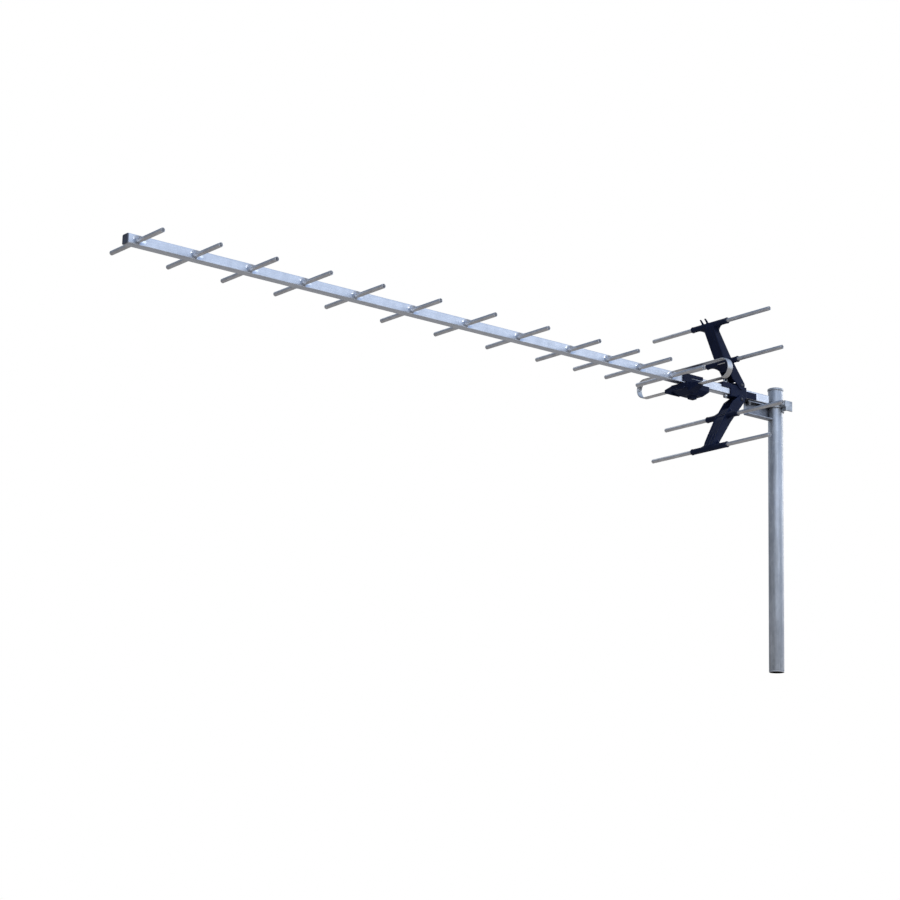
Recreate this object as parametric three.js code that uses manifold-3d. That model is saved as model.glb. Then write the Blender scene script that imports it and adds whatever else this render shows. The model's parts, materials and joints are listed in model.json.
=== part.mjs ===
// Television yagi antenna on its mast. Millimetres, +Z up, boom along X with its
// front towards -X. The origin is the centre of the mast's foot.
import * as THREE from 'three';
import { mergeVertices } from 'three/addons/utils/BufferGeometryUtils.js';
import Module from 'manifold-3d';

const wasm = await Module();
wasm.setup();

// ---- Driving dimensions ----
const GAP = 0.3; // clearance between neighbouring pieces
const FINE = 24; // facets of a round that shows
const COARSE = 16; // facets of a small round
const SMOOTH = 40; // facets of the clamp's large rounds

const MAST_R = 17.5;
const MAST_WALL = 2;
const MAST_TOP = 668;
const FOOT_FLANGE = 3;
const FOOT_PLUG = 22; // height of the plug in the mast's foot
const CAP_SPIGOT = 12; // how far the mast cap reaches into the tube
const CAP_SKIRT = 3;
const CAP_PROUD = 1.2; // the cap's rim stands this far outside the tube
const CAP_DOME = 4;
const BOOM_Z = 637; // height of the boom's centre line

const BOOM = 20; // outside width of the square boom
const BOOM_WALL = 1.3;
const BOOM_FRONT = -1760;
const BOOM_REAR = -33;
const DIMPLE_R = 8; // mouth of the pressed dimple round each director
const DIMPLE_DEPTH = 0.8;
const DIMPLE_FLOOR = 1.2; // the dimple's floor is this much wider than the rod
const END_CAP_FACE = 2.4; // thickness of the boom cap's face
const END_CAP_SPIGOT = 14;
const END_CAP_SKIN = 1.8;

const ROD_R = 4.75;
const ROD_WALL = 1;
const FIRST_DIRECTOR_X = -342;
const DIRECTOR_STEPS = [98, 96, 112, 144, 144, 144, 144, 128, 128, 128, 128];
const DIRECTOR_LONG = 217; // length of the director nearest the dipole
const DIRECTOR_SHORT = 190; // length of the front director

const DIPOLE_X = -298;
const DIPOLE_SPAN = 298;
const DIPOLE_RISE = 22; // strand centre above and below the loop's middle
const DIPOLE_LIFT = 2.5; // the loop's middle above the boom's centre line
const LOWER_STRAND = DIPOLE_LIFT - DIPOLE_RISE;
const STRAP_WIDTH = 15;
const STRAP_THICK = 2;
const STRAP_END_Y = 12; // half the feed gap in the lower strand

const BOX_FRONT = -313;
const BOX_REAR = -242;
const BOX_HALF = 26;
const BOX_TOP = -11.5;
const BOX_SPLIT = -24.3; // parting plane of body and lid
const BOX_BASE = -35;
const BOX_WALL = 2;
const WING_HALF = 53;
const CHEEK_TOP = 12;
const CHEEK_THICK = 2.7;
const TERMINAL_Y = 17;
const TERMINAL_HEAD_R = 4;
const SCREW_R = 2; // M4
const BOX_SCREW_X = DIPOLE_X + 30;
const BOX_SCREW_HEAD_R = 3.5;
const WING_ROOT_X = 13; // half width of a wing at the box and at its tip
const WING_TIP_X = 9.5;
const WING_TIP_Z = 4;
const WING_ROOT_DROP = 9.5; // the wing's root hangs this far below the parting plane
const LID_TAPER = 9; // how far the lid's sides draw in towards its base
const BOARD = { front: -308, rear: -250, half: 21, thick: 1.6 };
const LID_PIN_X = BOX_FRONT - 2.3;
const LID_PIN_R = 1.2;
const BARREL_R = 2.5;
const BARREL_HALF = 20;
const BARREL_INNER = 10; // the lid's barrel lies between the body's two
const SPOUT_X = -271.5; // coaxial outlet
const SPOUT_LONG = 6;
const SPOUT_BORE_R = 4.5;
const SOCKET_R = 4.2;
const SOCKET_BORE_R = 2.6;

const HUB_FRONT = -160;
const HUB_REAR = -109;
const HUB_HALF = 13;
const HUB_RISE = 14;
const PIVOT_X = -128;
const PIVOT_RISE = 17;
const KNUCKLE_R = 8;
const PIVOT_PIN_R = 2.5;
const TONGUE_FRONT = -186;
const TONGUE_TOP = 16;
const TAIL_REAR = -76;
const WING_SCREW_X = -164;
const WING_SCREW_R = 2.5;
const WING_COLLAR_R = 4.5;
const WING_THICK = 2.2;
const HUB_SKIN = 2.3; // wall of the tongue and tail round the boom
const HUB_NUT_HEIGHT = 4;
const PIN_HEAD_R = 4.2;
const PIN_HEAD = 1.5;

const ARM_WALL = 2.5;
const ARM_ROOT_R = 11;
const ARM_ROOT_START = 1.06 * Math.PI; // where the front edge leaves the round root
const ARM_FRONT_EDGE = [[-217, 130], [-189, 76], [-156, 26]];
const ARM_REAR_EDGE = [[-122, 26], [-163, 78], [-200, 133]];
const ARM_RIM = 1.2; // how far the front web stands behind the cheeks' edges
const ARM_WEB = 3;
const RIB_Y = 5;
const RIB_THICK = 1.6;
const RIB_DEPTH = 4;
const FOLD_CLEAR_R = 47.5; // the web stays this far from the pivot
const FINGER_Y = [21.5, 6.7];
const FINGER_RISE = 16;
const ARM_INNER = HUB_HALF + GAP;
const ARM_OUTER = ARM_INNER + ARM_WALL;
const TIP_X = -215;
const TIP_RISE = 146;
const MID_X = -174;
const MID_RISE = 64;
const SLEEVE_R = 6.75;
const TIP_SLEEVE_HALF = 57;
const MID_SLEEVE_HALF = 50;
const SLEEVE_TRIM = 0.4; // the mid sleeve is cut flat this far behind the cheeks' front edge
const TIP_GUSSET = { reach: 26, drop: 22 };
const MID_GUSSET = { reach: 18, drop: 20 };
const GUSSET_THICK = 5;
const REFLECTOR_LENGTH = 378;

const STEEL = 2.2; // sheet thickness of the mast bracket
const BRACKET_FRONT = -98;
const BRACKET_REAR = -10;
const BRACKET_HALF = 8;
const BRACKET_BASE = -46;
const BRACKET_LIP = 4.5;
const BOOM_BOLT_X = [-86, -48];
const BOOM_BOLT_R = 2.5; // M5
const BOOM_NUT_AF = 8; // M5 across flats
const BOOM_NUT_HEIGHT = 4;
const DOME_R = 7; // sphere of the round bolt head
const DOME_RISE = 2.6; // height of the head
const BAND = 2.5; // sheet thickness of the mast clamp
const BAND_TOP = 0;
const BAND_BASE = -15;
const SADDLE_TOP = 0;
const SADDLE_BASE = -24;
const CLAMP_HALF = 34.6;
const CLAMP_LIP_X = 14.3;
const CLAMP_BOLT_Y = 26;
const CLAMP_BOLT_Z = -8;
const BOLT_R = 3; // M6
const BOLT_TIP_X = 24;
const NUT_AF = 10; // M6 across flats
const NUT_HEIGHT = 5;
const BOLT_HEAD = 4;
const WASHER_R = 5.6;
const WASHER_THICK = 1.4;
const CLAMP_FACE = GAP / 2 + 0.6; // each clamp half stops this far short of the mast's axis

// ---- Solids ----
function solid(geometry) {
  const g = geometry.clone();
  g.deleteAttribute('normal');
  g.deleteAttribute('uv');
  const merged = mergeVertices(g, 1e-4);
  return new wasm.Manifold(new wasm.Mesh({
    numProp: 3,
    vertProperties: new Float32Array(merged.attributes.position.array),
    triVerts: new Uint32Array(merged.index.array),
  }));
}

function block(x0, x1, y0, y1, z0, z1) {
  const g = new THREE.BoxGeometry(x1 - x0, y1 - y0, z1 - z0);
  g.translate((x0 + x1) / 2, (y0 + y1) / 2, (z0 + z1) / 2);
  return solid(g);
}

// A round bar along one axis, from `a` to `b`, centred on the other two coordinates.
function bar(axis, r, a, b, p, q, facets = COARSE) {
  const g = new THREE.CylinderGeometry(r, r, b - a, facets);
  const mid = (a + b) / 2;
  if (axis === 'x') g.rotateZ(Math.PI / 2).translate(mid, p, q);
  if (axis === 'y') g.translate(p, mid, q);
  if (axis === 'z') g.rotateX(Math.PI / 2).translate(p, q, mid);
  return solid(g);
}

// A hexagonal bar along X or Z, given its size across flats.
function hexBar(axis, acrossFlats, a, b, p, q) {
  return bar(axis, acrossFlats / Math.sqrt(3), a, b, p, q, 6);
}

// An outline in X and Z, given thickness along Y.
function plateXZ(outline, y0, y1) {
  const shape = new THREE.Shape(outline.map(([x, z]) => new THREE.Vector2(x, z)));
  const g = new THREE.ExtrudeGeometry(shape, { depth: y1 - y0, bevelEnabled: false });
  g.rotateX(Math.PI / 2).translate(0, y1, 0);
  return solid(g);
}

// A block whose top rectangle and bottom rectangle differ.
function taper(top, bottom) {
  const g = new THREE.BoxGeometry(1, 1, 1);
  const p = g.attributes.position;
  for (let i = 0; i < p.count; i += 1) {
    const r = p.getZ(i) > 0 ? top : bottom;
    const x = p.getX(i) < 0 ? r.x0 : r.x1;
    const y = p.getY(i) < 0 ? -r.half : r.half;
    p.setXYZ(i, x, y, r.z);
  }
  return solid(g);
}

function joined(pieces) {
  return pieces.reduce((whole, piece) => whole.add(piece));
}

function cut(whole, pieces) {
  return pieces.reduce((rest, piece) => rest.subtract(piece), whole);
}

function mirrorZ(shape) {
  return shape.mirror([0, 0, 1]);
}

function mirrorY(shape) {
  return shape.mirror([0, 1, 0]);
}

// ---- Mesh and group ----
const group = new THREE.Group();
group.name = 'yagi_antenna';

const COLOURS = {
  aluminium: 0xb4b8be,
  boom: 0xaeb8c6,
  zinc: 0xa3a8ae,
  plastic: 0x151b2c,
  brass: 0xb08d4f,
  board: 0x2f5a3a,
};

function meshOf(shape) {
  const m = shape.getMesh();
  const g = new THREE.BufferGeometry();
  const positions = new Float32Array(m.numVert * 3);
  for (let i = 0; i < m.numVert; i += 1) {
    for (let c = 0; c < 3; c += 1) positions[3 * i + c] = m.vertProperties[m.numProp * i + c];
  }
  g.setAttribute('position', new THREE.BufferAttribute(positions, 3));
  g.setIndex(new THREE.BufferAttribute(new Uint32Array(m.triVerts), 1));
  g.computeVertexNormals();
  return g;
}

function place(name, geometry, colour) {
  const material = new THREE.MeshStandardMaterial({ color: COLOURS[colour], name: colour });
  const mesh = new THREE.Mesh(geometry, material);
  mesh.name = name;
  group.add(mesh);
}

// Adds a piece modelled about the boom's centre line.
function add(name, shape, colour) {
  place(name, meshOf(shape.translate([0, 0, BOOM_Z])), colour);
}

function tubeAcross(x, z, length) {
  const half = length / 2;
  const outer = bar('y', ROD_R, -half, half, x, z, COARSE);
  return outer.subtract(bar('y', ROD_R - ROD_WALL, -half - 1, half + 1, x, z, COARSE));
}

// ---- Mast ----
function lathe(points) {
  const profile = points.map(([r, z]) => new THREE.Vector2(r, z));
  const g = new THREE.LatheGeometry(profile, 32);
  g.rotateX(Math.PI / 2);
  return g;
}

function addMast() {
  const bore = MAST_R - MAST_WALL;
  const base = FOOT_FLANGE + GAP;
  const plugR = bore - GAP;
  place('mast_tube', lathe([
    [bore, base], [MAST_R, base], [MAST_R, MAST_TOP], [bore, MAST_TOP], [bore, base],
  ]), 'zinc');
  place('mast_foot_plug', lathe([
    [0, 0], [MAST_R, 0], [MAST_R, FOOT_FLANGE], [plugR, FOOT_FLANGE], [plugR, FOOT_PLUG], [0, FOOT_PLUG],
  ]), 'zinc');
  const rim = MAST_TOP + GAP;
  place('mast_cap', lathe([
    [0, MAST_TOP - CAP_SPIGOT], [plugR, MAST_TOP - CAP_SPIGOT], [plugR, rim],
    [MAST_R + GAP, rim], [MAST_R + GAP, MAST_TOP - CAP_SKIRT],
    [MAST_R + CAP_PROUD, MAST_TOP - CAP_SKIRT], [MAST_R + CAP_PROUD, rim + 0.15 * CAP_DOME],
    [MAST_R - 1, rim + 0.45 * CAP_DOME], [MAST_R / 2, rim + 0.85 * CAP_DOME], [0, rim + CAP_DOME],
  ]), 'zinc');
}

// ---- Boom and directors ----
function directorPositions() {
  const xs = [FIRST_DIRECTOR_X];
  DIRECTOR_STEPS.forEach((step) => xs.push(xs[xs.length - 1] - step));
  return xs;
}

// The cone pressed into one side wall.
function dimple(x, side) {
  const g = new THREE.CylinderGeometry(DIMPLE_R, ROD_R + DIMPLE_FLOOR, DIMPLE_DEPTH, COARSE);
  g.translate(x, BOOM / 2 - DIMPLE_DEPTH / 2, 0);
  return side > 0 ? solid(g) : mirrorY(solid(g));
}

function boomTube(directors) {
  const half = BOOM / 2;
  const inner = half - BOOM_WALL;
  const outer = block(BOOM_FRONT, BOOM_REAR, -half, half, -half, half);
  const bore = block(BOOM_FRONT - 1, BOOM_REAR + 1, -inner, inner, -inner, inner);
  const holes = directors.map((x) => bar('y', ROD_R + GAP, -half - 1, half + 1, x, 0));
  directors.forEach((x) => holes.push(dimple(x, 1), dimple(x, -1)));
  BOOM_BOLT_X.forEach((x) => holes.push(bar('z', BOOM_BOLT_R + GAP, -half - 1, half + 1, x, 0)));
  holes.push(bar('z', WING_SCREW_R + GAP, -half - 1, half + 1, WING_SCREW_X, 0));
  holes.push(bar('z', SCREW_R + GAP, -half - 1, 0, BOX_SCREW_X, 0));
  return cut(outer.subtract(bore), holes);
}

function boomFrontCap() {
  const half = BOOM / 2;
  const inner = half - BOOM_WALL - GAP;
  const face = BOOM_FRONT - GAP;
  const room = inner - END_CAP_SKIN;
  const rear = face + END_CAP_SPIGOT;
  const flange = block(face - END_CAP_FACE, face, -half, half, -half, half);
  const spigot = block(face, rear, -inner, inner, -inner, inner);
  const hollow = block(face + 2, rear + 1, -room, room, -room, room);
  return flange.add(spigot).subtract(hollow);
}

function addBoom() {
  const directors = directorPositions();
  add('boom', boomTube(directors), 'boom');
  add('boom_front_cap', boomFrontCap(), 'plastic');
  const last = directors.length - 1;
  directors.forEach((x, i) => {
    const length = DIRECTOR_LONG + ((DIRECTOR_SHORT - DIRECTOR_LONG) * i) / last;
    add(`director_${String(i + 1).padStart(2, '0')}`, tubeAcross(x, 0, length), 'aluminium');
  });
}

// ---- Folded dipole ----
function loopShape(r) {
  const straight = DIPOLE_SPAN / 2 - DIPOLE_RISE - STRAP_THICK / 2;
  const shape = new THREE.Shape();
  shape.absarc(straight, 0, r, -Math.PI / 2, Math.PI / 2, false);
  shape.absarc(-straight, 0, r, Math.PI / 2, (3 * Math.PI) / 2, false);
  return shape;
}

// A stadium in Y and Z given thickness along X, centred on the dipole.
function loopSlab(r, width) {
  const g = new THREE.ExtrudeGeometry(loopShape(r), {
    depth: width, bevelEnabled: false, curveSegments: 18,
  });
  g.rotateX(Math.PI / 2).rotateZ(Math.PI / 2);
  g.translate(DIPOLE_X - width / 2, 0, DIPOLE_LIFT);
  return solid(g);
}

function dipoleStrap() {
  const outer = loopSlab(DIPOLE_RISE + STRAP_THICK / 2, STRAP_WIDTH);
  const inner = loopSlab(DIPOLE_RISE - STRAP_THICK / 2, STRAP_WIDTH + 2);
  const feedGap = block(DIPOLE_X - 20, DIPOLE_X + 20, -STRAP_END_Y, STRAP_END_Y, -40, -10);
  const holes = [-1, 1].map((s) => (
    bar('z', SCREW_R + GAP, -40, -10, DIPOLE_X, s * TERMINAL_Y)
  ));
  return cut(outer.subtract(inner), [feedGap, ...holes]);
}

// ---- Feed box ----
// Half of the tapered pair of wings that carry the lower strand out of the box.
function wing() {
  const g = new THREE.BoxGeometry(1, 1, 1);
  const p = g.attributes.position;
  for (let i = 0; i < p.count; i += 1) {
    const outer = p.getY(i) > 0;
    const halfX = outer ? WING_TIP_X : WING_ROOT_X;
    const top = outer ? LOWER_STRAND + WING_TIP_Z : BOX_TOP;
    const base = outer ? LOWER_STRAND - WING_TIP_Z : BOX_SPLIT - WING_ROOT_DROP;
    p.setXYZ(
      i,
      DIPOLE_X + (p.getX(i) < 0 ? -halfX : halfX),
      outer ? WING_HALF : BOX_HALF + GAP,
      p.getZ(i) > 0 ? top : base,
    );
  }
  return solid(g);
}

// Side plate that clips up the boom's side, with a slot and a hook over the boom's top.
function cheek() {
  const inner = BOOM / 2 + GAP;
  const outer = inner + CHEEK_THICK;
  const front = BOX_FRONT + 2;
  const rear = BOX_REAR - 7;
  const plate = plateXZ([
    [front + 12, BOX_TOP - 1], [front + 12, -7], [front, -7], [front, CHEEK_TOP],
    [rear, CHEEK_TOP], [rear, BOX_TOP - 1],
  ], inner, outer);
  const hook = block(front, rear, BOOM / 2 - 2.5, outer, BOOM / 2 + GAP, CHEEK_TOP + 0.6);
  const slot = block(front + 26, rear + 1, inner - 1, outer + 1, 2.2, 4.4);
  return plate.add(hook).subtract(slot);
}

function barrels(y0, y1) {
  return bar('y', BARREL_R, y0, y1, LID_PIN_X, BOX_SPLIT);
}

function feedBoxBody() {
  const shell = block(BOX_FRONT, BOX_REAR, -BOX_HALF, BOX_HALF, BOX_SPLIT, BOX_TOP);
  const room = block(
    BOX_FRONT + BOX_WALL, BOX_REAR - BOX_WALL, -BOX_HALF + BOX_WALL, BOX_HALF - BOX_WALL,
    BOX_SPLIT - 1, BOX_TOP - BOX_WALL,
  );
  const neck = block(DIPOLE_X - 11, DIPOLE_X + 11, BOX_HALF - 1, BOX_HALF + 1, BOX_SPLIT, BOX_TOP);
  const outlets = block(
    DIPOLE_X - STRAP_WIDTH / 2 - GAP, DIPOLE_X + STRAP_WIDTH / 2 + GAP, -80, 80,
    LOWER_STRAND - STRAP_THICK / 2 - GAP, LOWER_STRAND + STRAP_THICK / 2 + GAP,
  );
  const posts = [-1, 1].map((s) => (
    bar('z', 4.5, LOWER_STRAND + 3.3, BOX_TOP - 1, DIPOLE_X, s * TERMINAL_Y)
  ));
  const lugs = [-1, 1].map((s) => {
    const y0 = s > 0 ? BARREL_INNER : -BARREL_HALF;
    const y1 = s > 0 ? BARREL_HALF : -BARREL_INNER;
    const web = block(LID_PIN_X, BOX_FRONT + 1, y0, y1, BOX_SPLIT + 0.2, BOX_SPLIT + 2.4);
    return barrels(y0, y1).add(web);
  });
  const side = wing().add(neck).add(cheek());
  const body = joined([shell.subtract(room), ...posts, side, mirrorY(side), ...lugs]);
  const screws = [-1, 1].map((s) => (
    bar('z', SCREW_R + GAP, -40, BOX_TOP - 1.2, DIPOLE_X, s * TERMINAL_Y)
  ));
  const lidClearance = bar('y', BARREL_R + 0.4, -BARREL_INNER, BARREL_INNER, LID_PIN_X, BOX_SPLIT);
  return cut(body, [
    outlets, ...screws, lidClearance,
    bar('y', LID_PIN_R + GAP, -40, 40, LID_PIN_X, BOX_SPLIT),
    bar('z', SCREW_R + GAP, -20, 0, BOX_SCREW_X, 0),
  ]);
}

function feedBoxLid() {
  const rim = BOX_SPLIT - GAP;
  const front = BOX_FRONT + 0.5;
  const rear = BOX_REAR - 0.5;
  const outer = taper(
    { x0: front, x1: rear, half: BOX_HALF - GAP, z: rim },
    { x0: front + 20, x1: rear - 12, half: BOX_HALF - LID_TAPER, z: BOX_BASE },
  );
  const inner = taper(
    { x0: front + 2, x1: rear - 2, half: BOX_HALF - GAP - 2, z: rim + 0.1 },
    { x0: front + 20, x1: rear - 13, half: BOX_HALF - LID_TAPER - 2, z: BOX_BASE + 2 },
  );
  const spout = taper(
    { x0: SPOUT_X - 9, x1: SPOUT_X + 9, half: 8, z: BOX_BASE + 1 },
    { x0: SPOUT_X - 8, x1: SPOUT_X + 8, half: 6.5, z: BOX_BASE - SPOUT_LONG },
  );
  const half = BARREL_INNER - GAP;
  const web = block(LID_PIN_X, front + 2.5, -half, half, rim - 2, rim);
  const lid = joined([outer.subtract(inner), spout, barrels(-half, half), web]);
  return cut(lid, [
    bar('z', SPOUT_BORE_R, -60, -20, SPOUT_X, 0),
    bar('y', LID_PIN_R + GAP, -40, 40, LID_PIN_X, BOX_SPLIT),
  ]);
}

// A screw along Z with its head underneath.
function screwFromBelow(x, y, headZ, tipZ, headR) {
  const head = bar('z', headR, headZ - 2, headZ, x, y, FINE);
  const shank = bar('z', SCREW_R, headZ - 0.5, tipZ, x, y);
  const drive = block(x - 0.5, x + 0.5, y - headR, y + headR, headZ - 3, headZ - 1.2);
  return head.add(shank).subtract(drive);
}

function addFeed() {
  add('dipole_strap', dipoleStrap(), 'aluminium');
  add('feed_box_body', feedBoxBody(), 'plastic');
  add('feed_box_lid', feedBoxLid(), 'plastic');
  add('lid_hinge_pin', bar('y', LID_PIN_R, -BARREL_HALF, BARREL_HALF, LID_PIN_X, BOX_SPLIT), 'zinc');
  const strapTop = LOWER_STRAND + STRAP_THICK / 2;
  const boardBase = strapTop + GAP;
  const board = block(
    BOARD.front, BOARD.rear, -BOARD.half, BOARD.half, boardBase, boardBase + BOARD.thick,
  );
  add('balun_board', cut(board, [-1, 1].map((s) => (
    bar('z', SCREW_R + GAP, -40, 0, DIPOLE_X, s * TERMINAL_Y)
  ))), 'board');
  ['near', 'far'].forEach((end, i) => {
    const y = i === 0 ? -TERMINAL_Y : TERMINAL_Y;
    const headZ = LOWER_STRAND - STRAP_THICK / 2 - GAP;
    const screw = screwFromBelow(DIPOLE_X, y, headZ, BOX_TOP - 1.5, TERMINAL_HEAD_R);
    add(`terminal_screw_${end}`, screw, 'brass');
  });
  const nut = hexBar('z', 10, boardBase - 3, boardBase - GAP, SPOUT_X, 0);
  const barrel = bar('z', SOCKET_R, boardBase - 9, boardBase - 2.5, SPOUT_X, 0, FINE);
  const socketBore = bar('z', SOCKET_BORE_R, boardBase - 10, boardBase - 4, SPOUT_X, 0);
  add('coax_socket', nut.add(barrel).subtract(socketBore), 'brass');
  const headZ = BOX_TOP - BOX_WALL - GAP;
  add('feed_box_screw', screwFromBelow(BOX_SCREW_X, 0, headZ, -6, BOX_SCREW_HEAD_R), 'zinc');
}

// ---- Reflector hub ----
function reflectorHub() {
  const hole = BOOM / 2 + GAP;
  const core = block(HUB_FRONT, HUB_REAR, -HUB_HALF, HUB_HALF, -HUB_RISE, HUB_RISE);
  const knuckles = [-1, 1].map((s) => (
    bar('y', KNUCKLE_R, -HUB_HALF, HUB_HALF, PIVOT_X, s * PIVOT_RISE, FINE)
  ));
  const outer = hole + HUB_SKIN;
  const tongue = block(TONGUE_FRONT, HUB_FRONT + 1, -outer, outer, 4, TONGUE_TOP);
  const tail = block(HUB_REAR - 1, TAIL_REAR, -outer, outer, -BOOM / 2 + 0.1, 6);
  const catchLug = block(HUB_REAR - 1, HUB_REAR + 5, -6, 6, hole, HUB_RISE + 2);
  const body = joined([core, ...knuckles, tongue, tail, catchLug]);
  return cut(body, [
    block(-220, -60, -hole, hole, -hole, hole),
    ...[-1, 1].map((s) => (
      bar('y', PIVOT_PIN_R + GAP, -20, 20, PIVOT_X, s * PIVOT_RISE)
    )),
    bar('z', WING_SCREW_R + GAP, 0, 30, WING_SCREW_X, 0),
  ]);
}

function wingScrew() {
  const shank = bar('z', WING_SCREW_R, -BOOM / 2 - 8, TONGUE_TOP + 2, WING_SCREW_X, 0);
  const collar = bar('z', WING_COLLAR_R, TONGUE_TOP + GAP, TONGUE_TOP + 4.5, WING_SCREW_X, 0, FINE);
  const wings = plateXZ([
    [-3, TONGUE_TOP + 2], [3, TONGUE_TOP + 2], [7, TONGUE_TOP + 8], [6, TONGUE_TOP + 12],
    [3, TONGUE_TOP + 11], [0, TONGUE_TOP + 6], [-3, TONGUE_TOP + 11], [-6, TONGUE_TOP + 12],
    [-7, TONGUE_TOP + 8],
  ], -WING_THICK / 2, WING_THICK / 2).translate([WING_SCREW_X, 0, 0]);
  return joined([shank, collar, wings]);
}

// ---- Reflector arms ----
// One cheek's outline: a round root about the pivot, then a tapering blade to the tip.
function armOutline() {
  const points = [];
  const steps = 12;
  for (let i = 0; i <= steps; i += 1) {
    const a = ARM_ROOT_START + ((2 * Math.PI - ARM_ROOT_START) * i) / steps;
    points.push([PIVOT_X + ARM_ROOT_R * Math.cos(a), PIVOT_RISE + ARM_ROOT_R * Math.sin(a)]);
  }
  const tip = [
    [TIP_X + 5, TIP_RISE + 3], [TIP_X - 2, TIP_RISE + 4], [TIP_X - 6, TIP_RISE - 3],
  ];
  return [...points, ...ARM_REAR_EDGE, ...tip, ...ARM_FRONT_EDGE];
}

// The arm's front edge moved back by `near`, closed by the same edge moved back by `far`.
function behindFrontEdge(near, far) {
  const moved = (shift) => ARM_FRONT_EDGE.map(([x, z]) => [x + shift, z]);
  return [...moved(near), ...moved(far).reverse()];
}

function sleeve(x, z, half) {
  return bar('y', SLEEVE_R, -half, half, x, z, FINE);
}

// Curved gusset under one half of a sleeve, in the plane of the blade.
function gusset(x, z, { reach, drop }) {
  const shape = new THREE.Shape();
  shape.moveTo(0, 0);
  shape.lineTo(reach, 0);
  shape.lineTo(reach, -SLEEVE_R + 1);
  shape.quadraticCurveTo(reach * 0.3, -SLEEVE_R, 0, -drop);
  shape.closePath();
  const g = new THREE.ExtrudeGeometry(shape, {
    depth: GUSSET_THICK, bevelEnabled: false, curveSegments: 5,
  });
  g.translate(0, 0, -GUSSET_THICK / 2);
  const lean = Math.atan2(PIVOT_X - TIP_X, TIP_RISE - PIVOT_RISE);
  const across = new THREE.Vector3(0, 1, 0);
  const outward = new THREE.Vector3(-Math.sin(lean), 0, Math.cos(lean));
  const normal = new THREE.Vector3().crossVectors(across, outward);
  g.applyMatrix4(new THREE.Matrix4().makeBasis(across, outward, normal));
  g.translate(x, ARM_OUTER - 1, z);
  return solid(g);
}

function roundAboutPivot(r) {
  return bar('y', r, -ARM_INNER - 1, ARM_INNER + 1, PIVOT_X, PIVOT_RISE, 48);
}

// Web and ribs that close the channel's front, clear of the hub when the arm folds.
function armFront() {
  const reach = ARM_INNER + 1;
  const web = plateXZ(behindFrontEdge(ARM_RIM, ARM_RIM + ARM_WEB), -reach, reach);
  const ribs = [-1, 1].map((s) => plateXZ(
    behindFrontEdge(ARM_RIM + 1, ARM_RIM + ARM_WEB + RIB_DEPTH),
    s * RIB_Y - RIB_THICK / 2,
    s * RIB_Y + RIB_THICK / 2,
  ));
  return joined([web, ...ribs]).subtract(roundAboutPivot(FOLD_CLEAR_R));
}

// Nearer the pivot the web steps back to the rear edge, by a curved wall about the pivot.
function armRootWeb() {
  const reach = ARM_INNER + 1;
  const blade = plateXZ(armOutline(), -reach, reach);
  const wallOuter = FOLD_CLEAR_R + ARM_WALL;
  const wall = roundAboutPivot(wallOuter).subtract(roundAboutPivot(FOLD_CLEAR_R));
  const rear = plateXZ([
    ...ARM_REAR_EDGE,
    ...ARM_REAR_EDGE.map(([x, z]) => [x - ARM_WEB, z]).reverse(),
  ], -reach, reach);
  return blade.intersect(joined([wall, rear.intersect(roundAboutPivot(wallOuter))]));
}

// A clip finger standing on the tip sleeve and leaning forwards.
function clipFinger(y) {
  const base = TIP_RISE + 4;
  const top = TIP_RISE + FINGER_RISE;
  return taper(
    { x0: TIP_X - 11, x1: TIP_X - 7, half: 1.5, z: top },
    { x0: TIP_X - 3, x1: TIP_X + 2, half: 2.2, z: base },
  ).translate([0, y, 0]);
}

function reflectorArm(fingers) {
  const cheek = plateXZ(armOutline(), ARM_INNER, ARM_OUTER);
  const tipGusset = gusset(TIP_X, TIP_RISE, TIP_GUSSET);
  const midGusset = gusset(MID_X, MID_RISE, MID_GUSSET);
  const half = [cheek, tipGusset, midGusset];
  const mid = sleeve(MID_X, MID_RISE, MID_SLEEVE_HALF).subtract(
    plateXZ(behindFrontEdge(-40, SLEEVE_TRIM), -ARM_INNER, ARM_INNER),
  );
  const parts = [
    ...half, ...half.map(mirrorY), armFront(), armRootWeb(), mid,
    sleeve(TIP_X, TIP_RISE, TIP_SLEEVE_HALF),
  ];
  if (fingers) {
    parts.push(...FINGER_Y.map(clipFinger));
  }
  return cut(joined(parts), [
    bar('y', ROD_R + GAP, -80, 80, TIP_X, TIP_RISE),
    bar('y', ROD_R + GAP, -80, 80, MID_X, MID_RISE),
    bar('y', PIVOT_PIN_R + GAP, -20, 20, PIVOT_X, PIVOT_RISE),
  ]);
}

function armPin() {
  const half = ARM_OUTER + GAP;
  const shank = bar('y', PIVOT_PIN_R, -half - 1, half + 1, PIVOT_X, PIVOT_RISE);
  const head = bar('y', PIN_HEAD_R, half, half + PIN_HEAD, PIVOT_X, PIVOT_RISE, FINE);
  return joined([shank, head, mirrorY(head)]);
}

function addReflector() {
  add('reflector_hub', reflectorHub(), 'plastic');
  add('hub_wing_screw', wingScrew(), 'zinc');
  const nutTop = -BOOM / 2 - GAP;
  const nut = hexBar('z', BOOM_NUT_AF, nutTop - HUB_NUT_HEIGHT, nutTop, WING_SCREW_X, 0);
  add('hub_nut', nut.subtract(bar('z', WING_SCREW_R + 0.2, -40, 0, WING_SCREW_X, 0)), 'zinc');
  add('reflector_arm_upper', reflectorArm(true), 'plastic');
  add('reflector_arm_lower', mirrorZ(reflectorArm(false)), 'plastic');
  add('arm_pin_upper', armPin(), 'zinc');
  add('arm_pin_lower', mirrorZ(armPin()), 'zinc');
  [['upper', 1], ['lower', -1]].forEach(([side, s]) => {
    add(`reflector_rod_${side}_tip`, tubeAcross(TIP_X, s * TIP_RISE, REFLECTOR_LENGTH), 'aluminium');
    add(`reflector_rod_${side}_mid`, tubeAcross(MID_X, s * MID_RISE, REFLECTOR_LENGTH), 'aluminium');
  });
}

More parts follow.
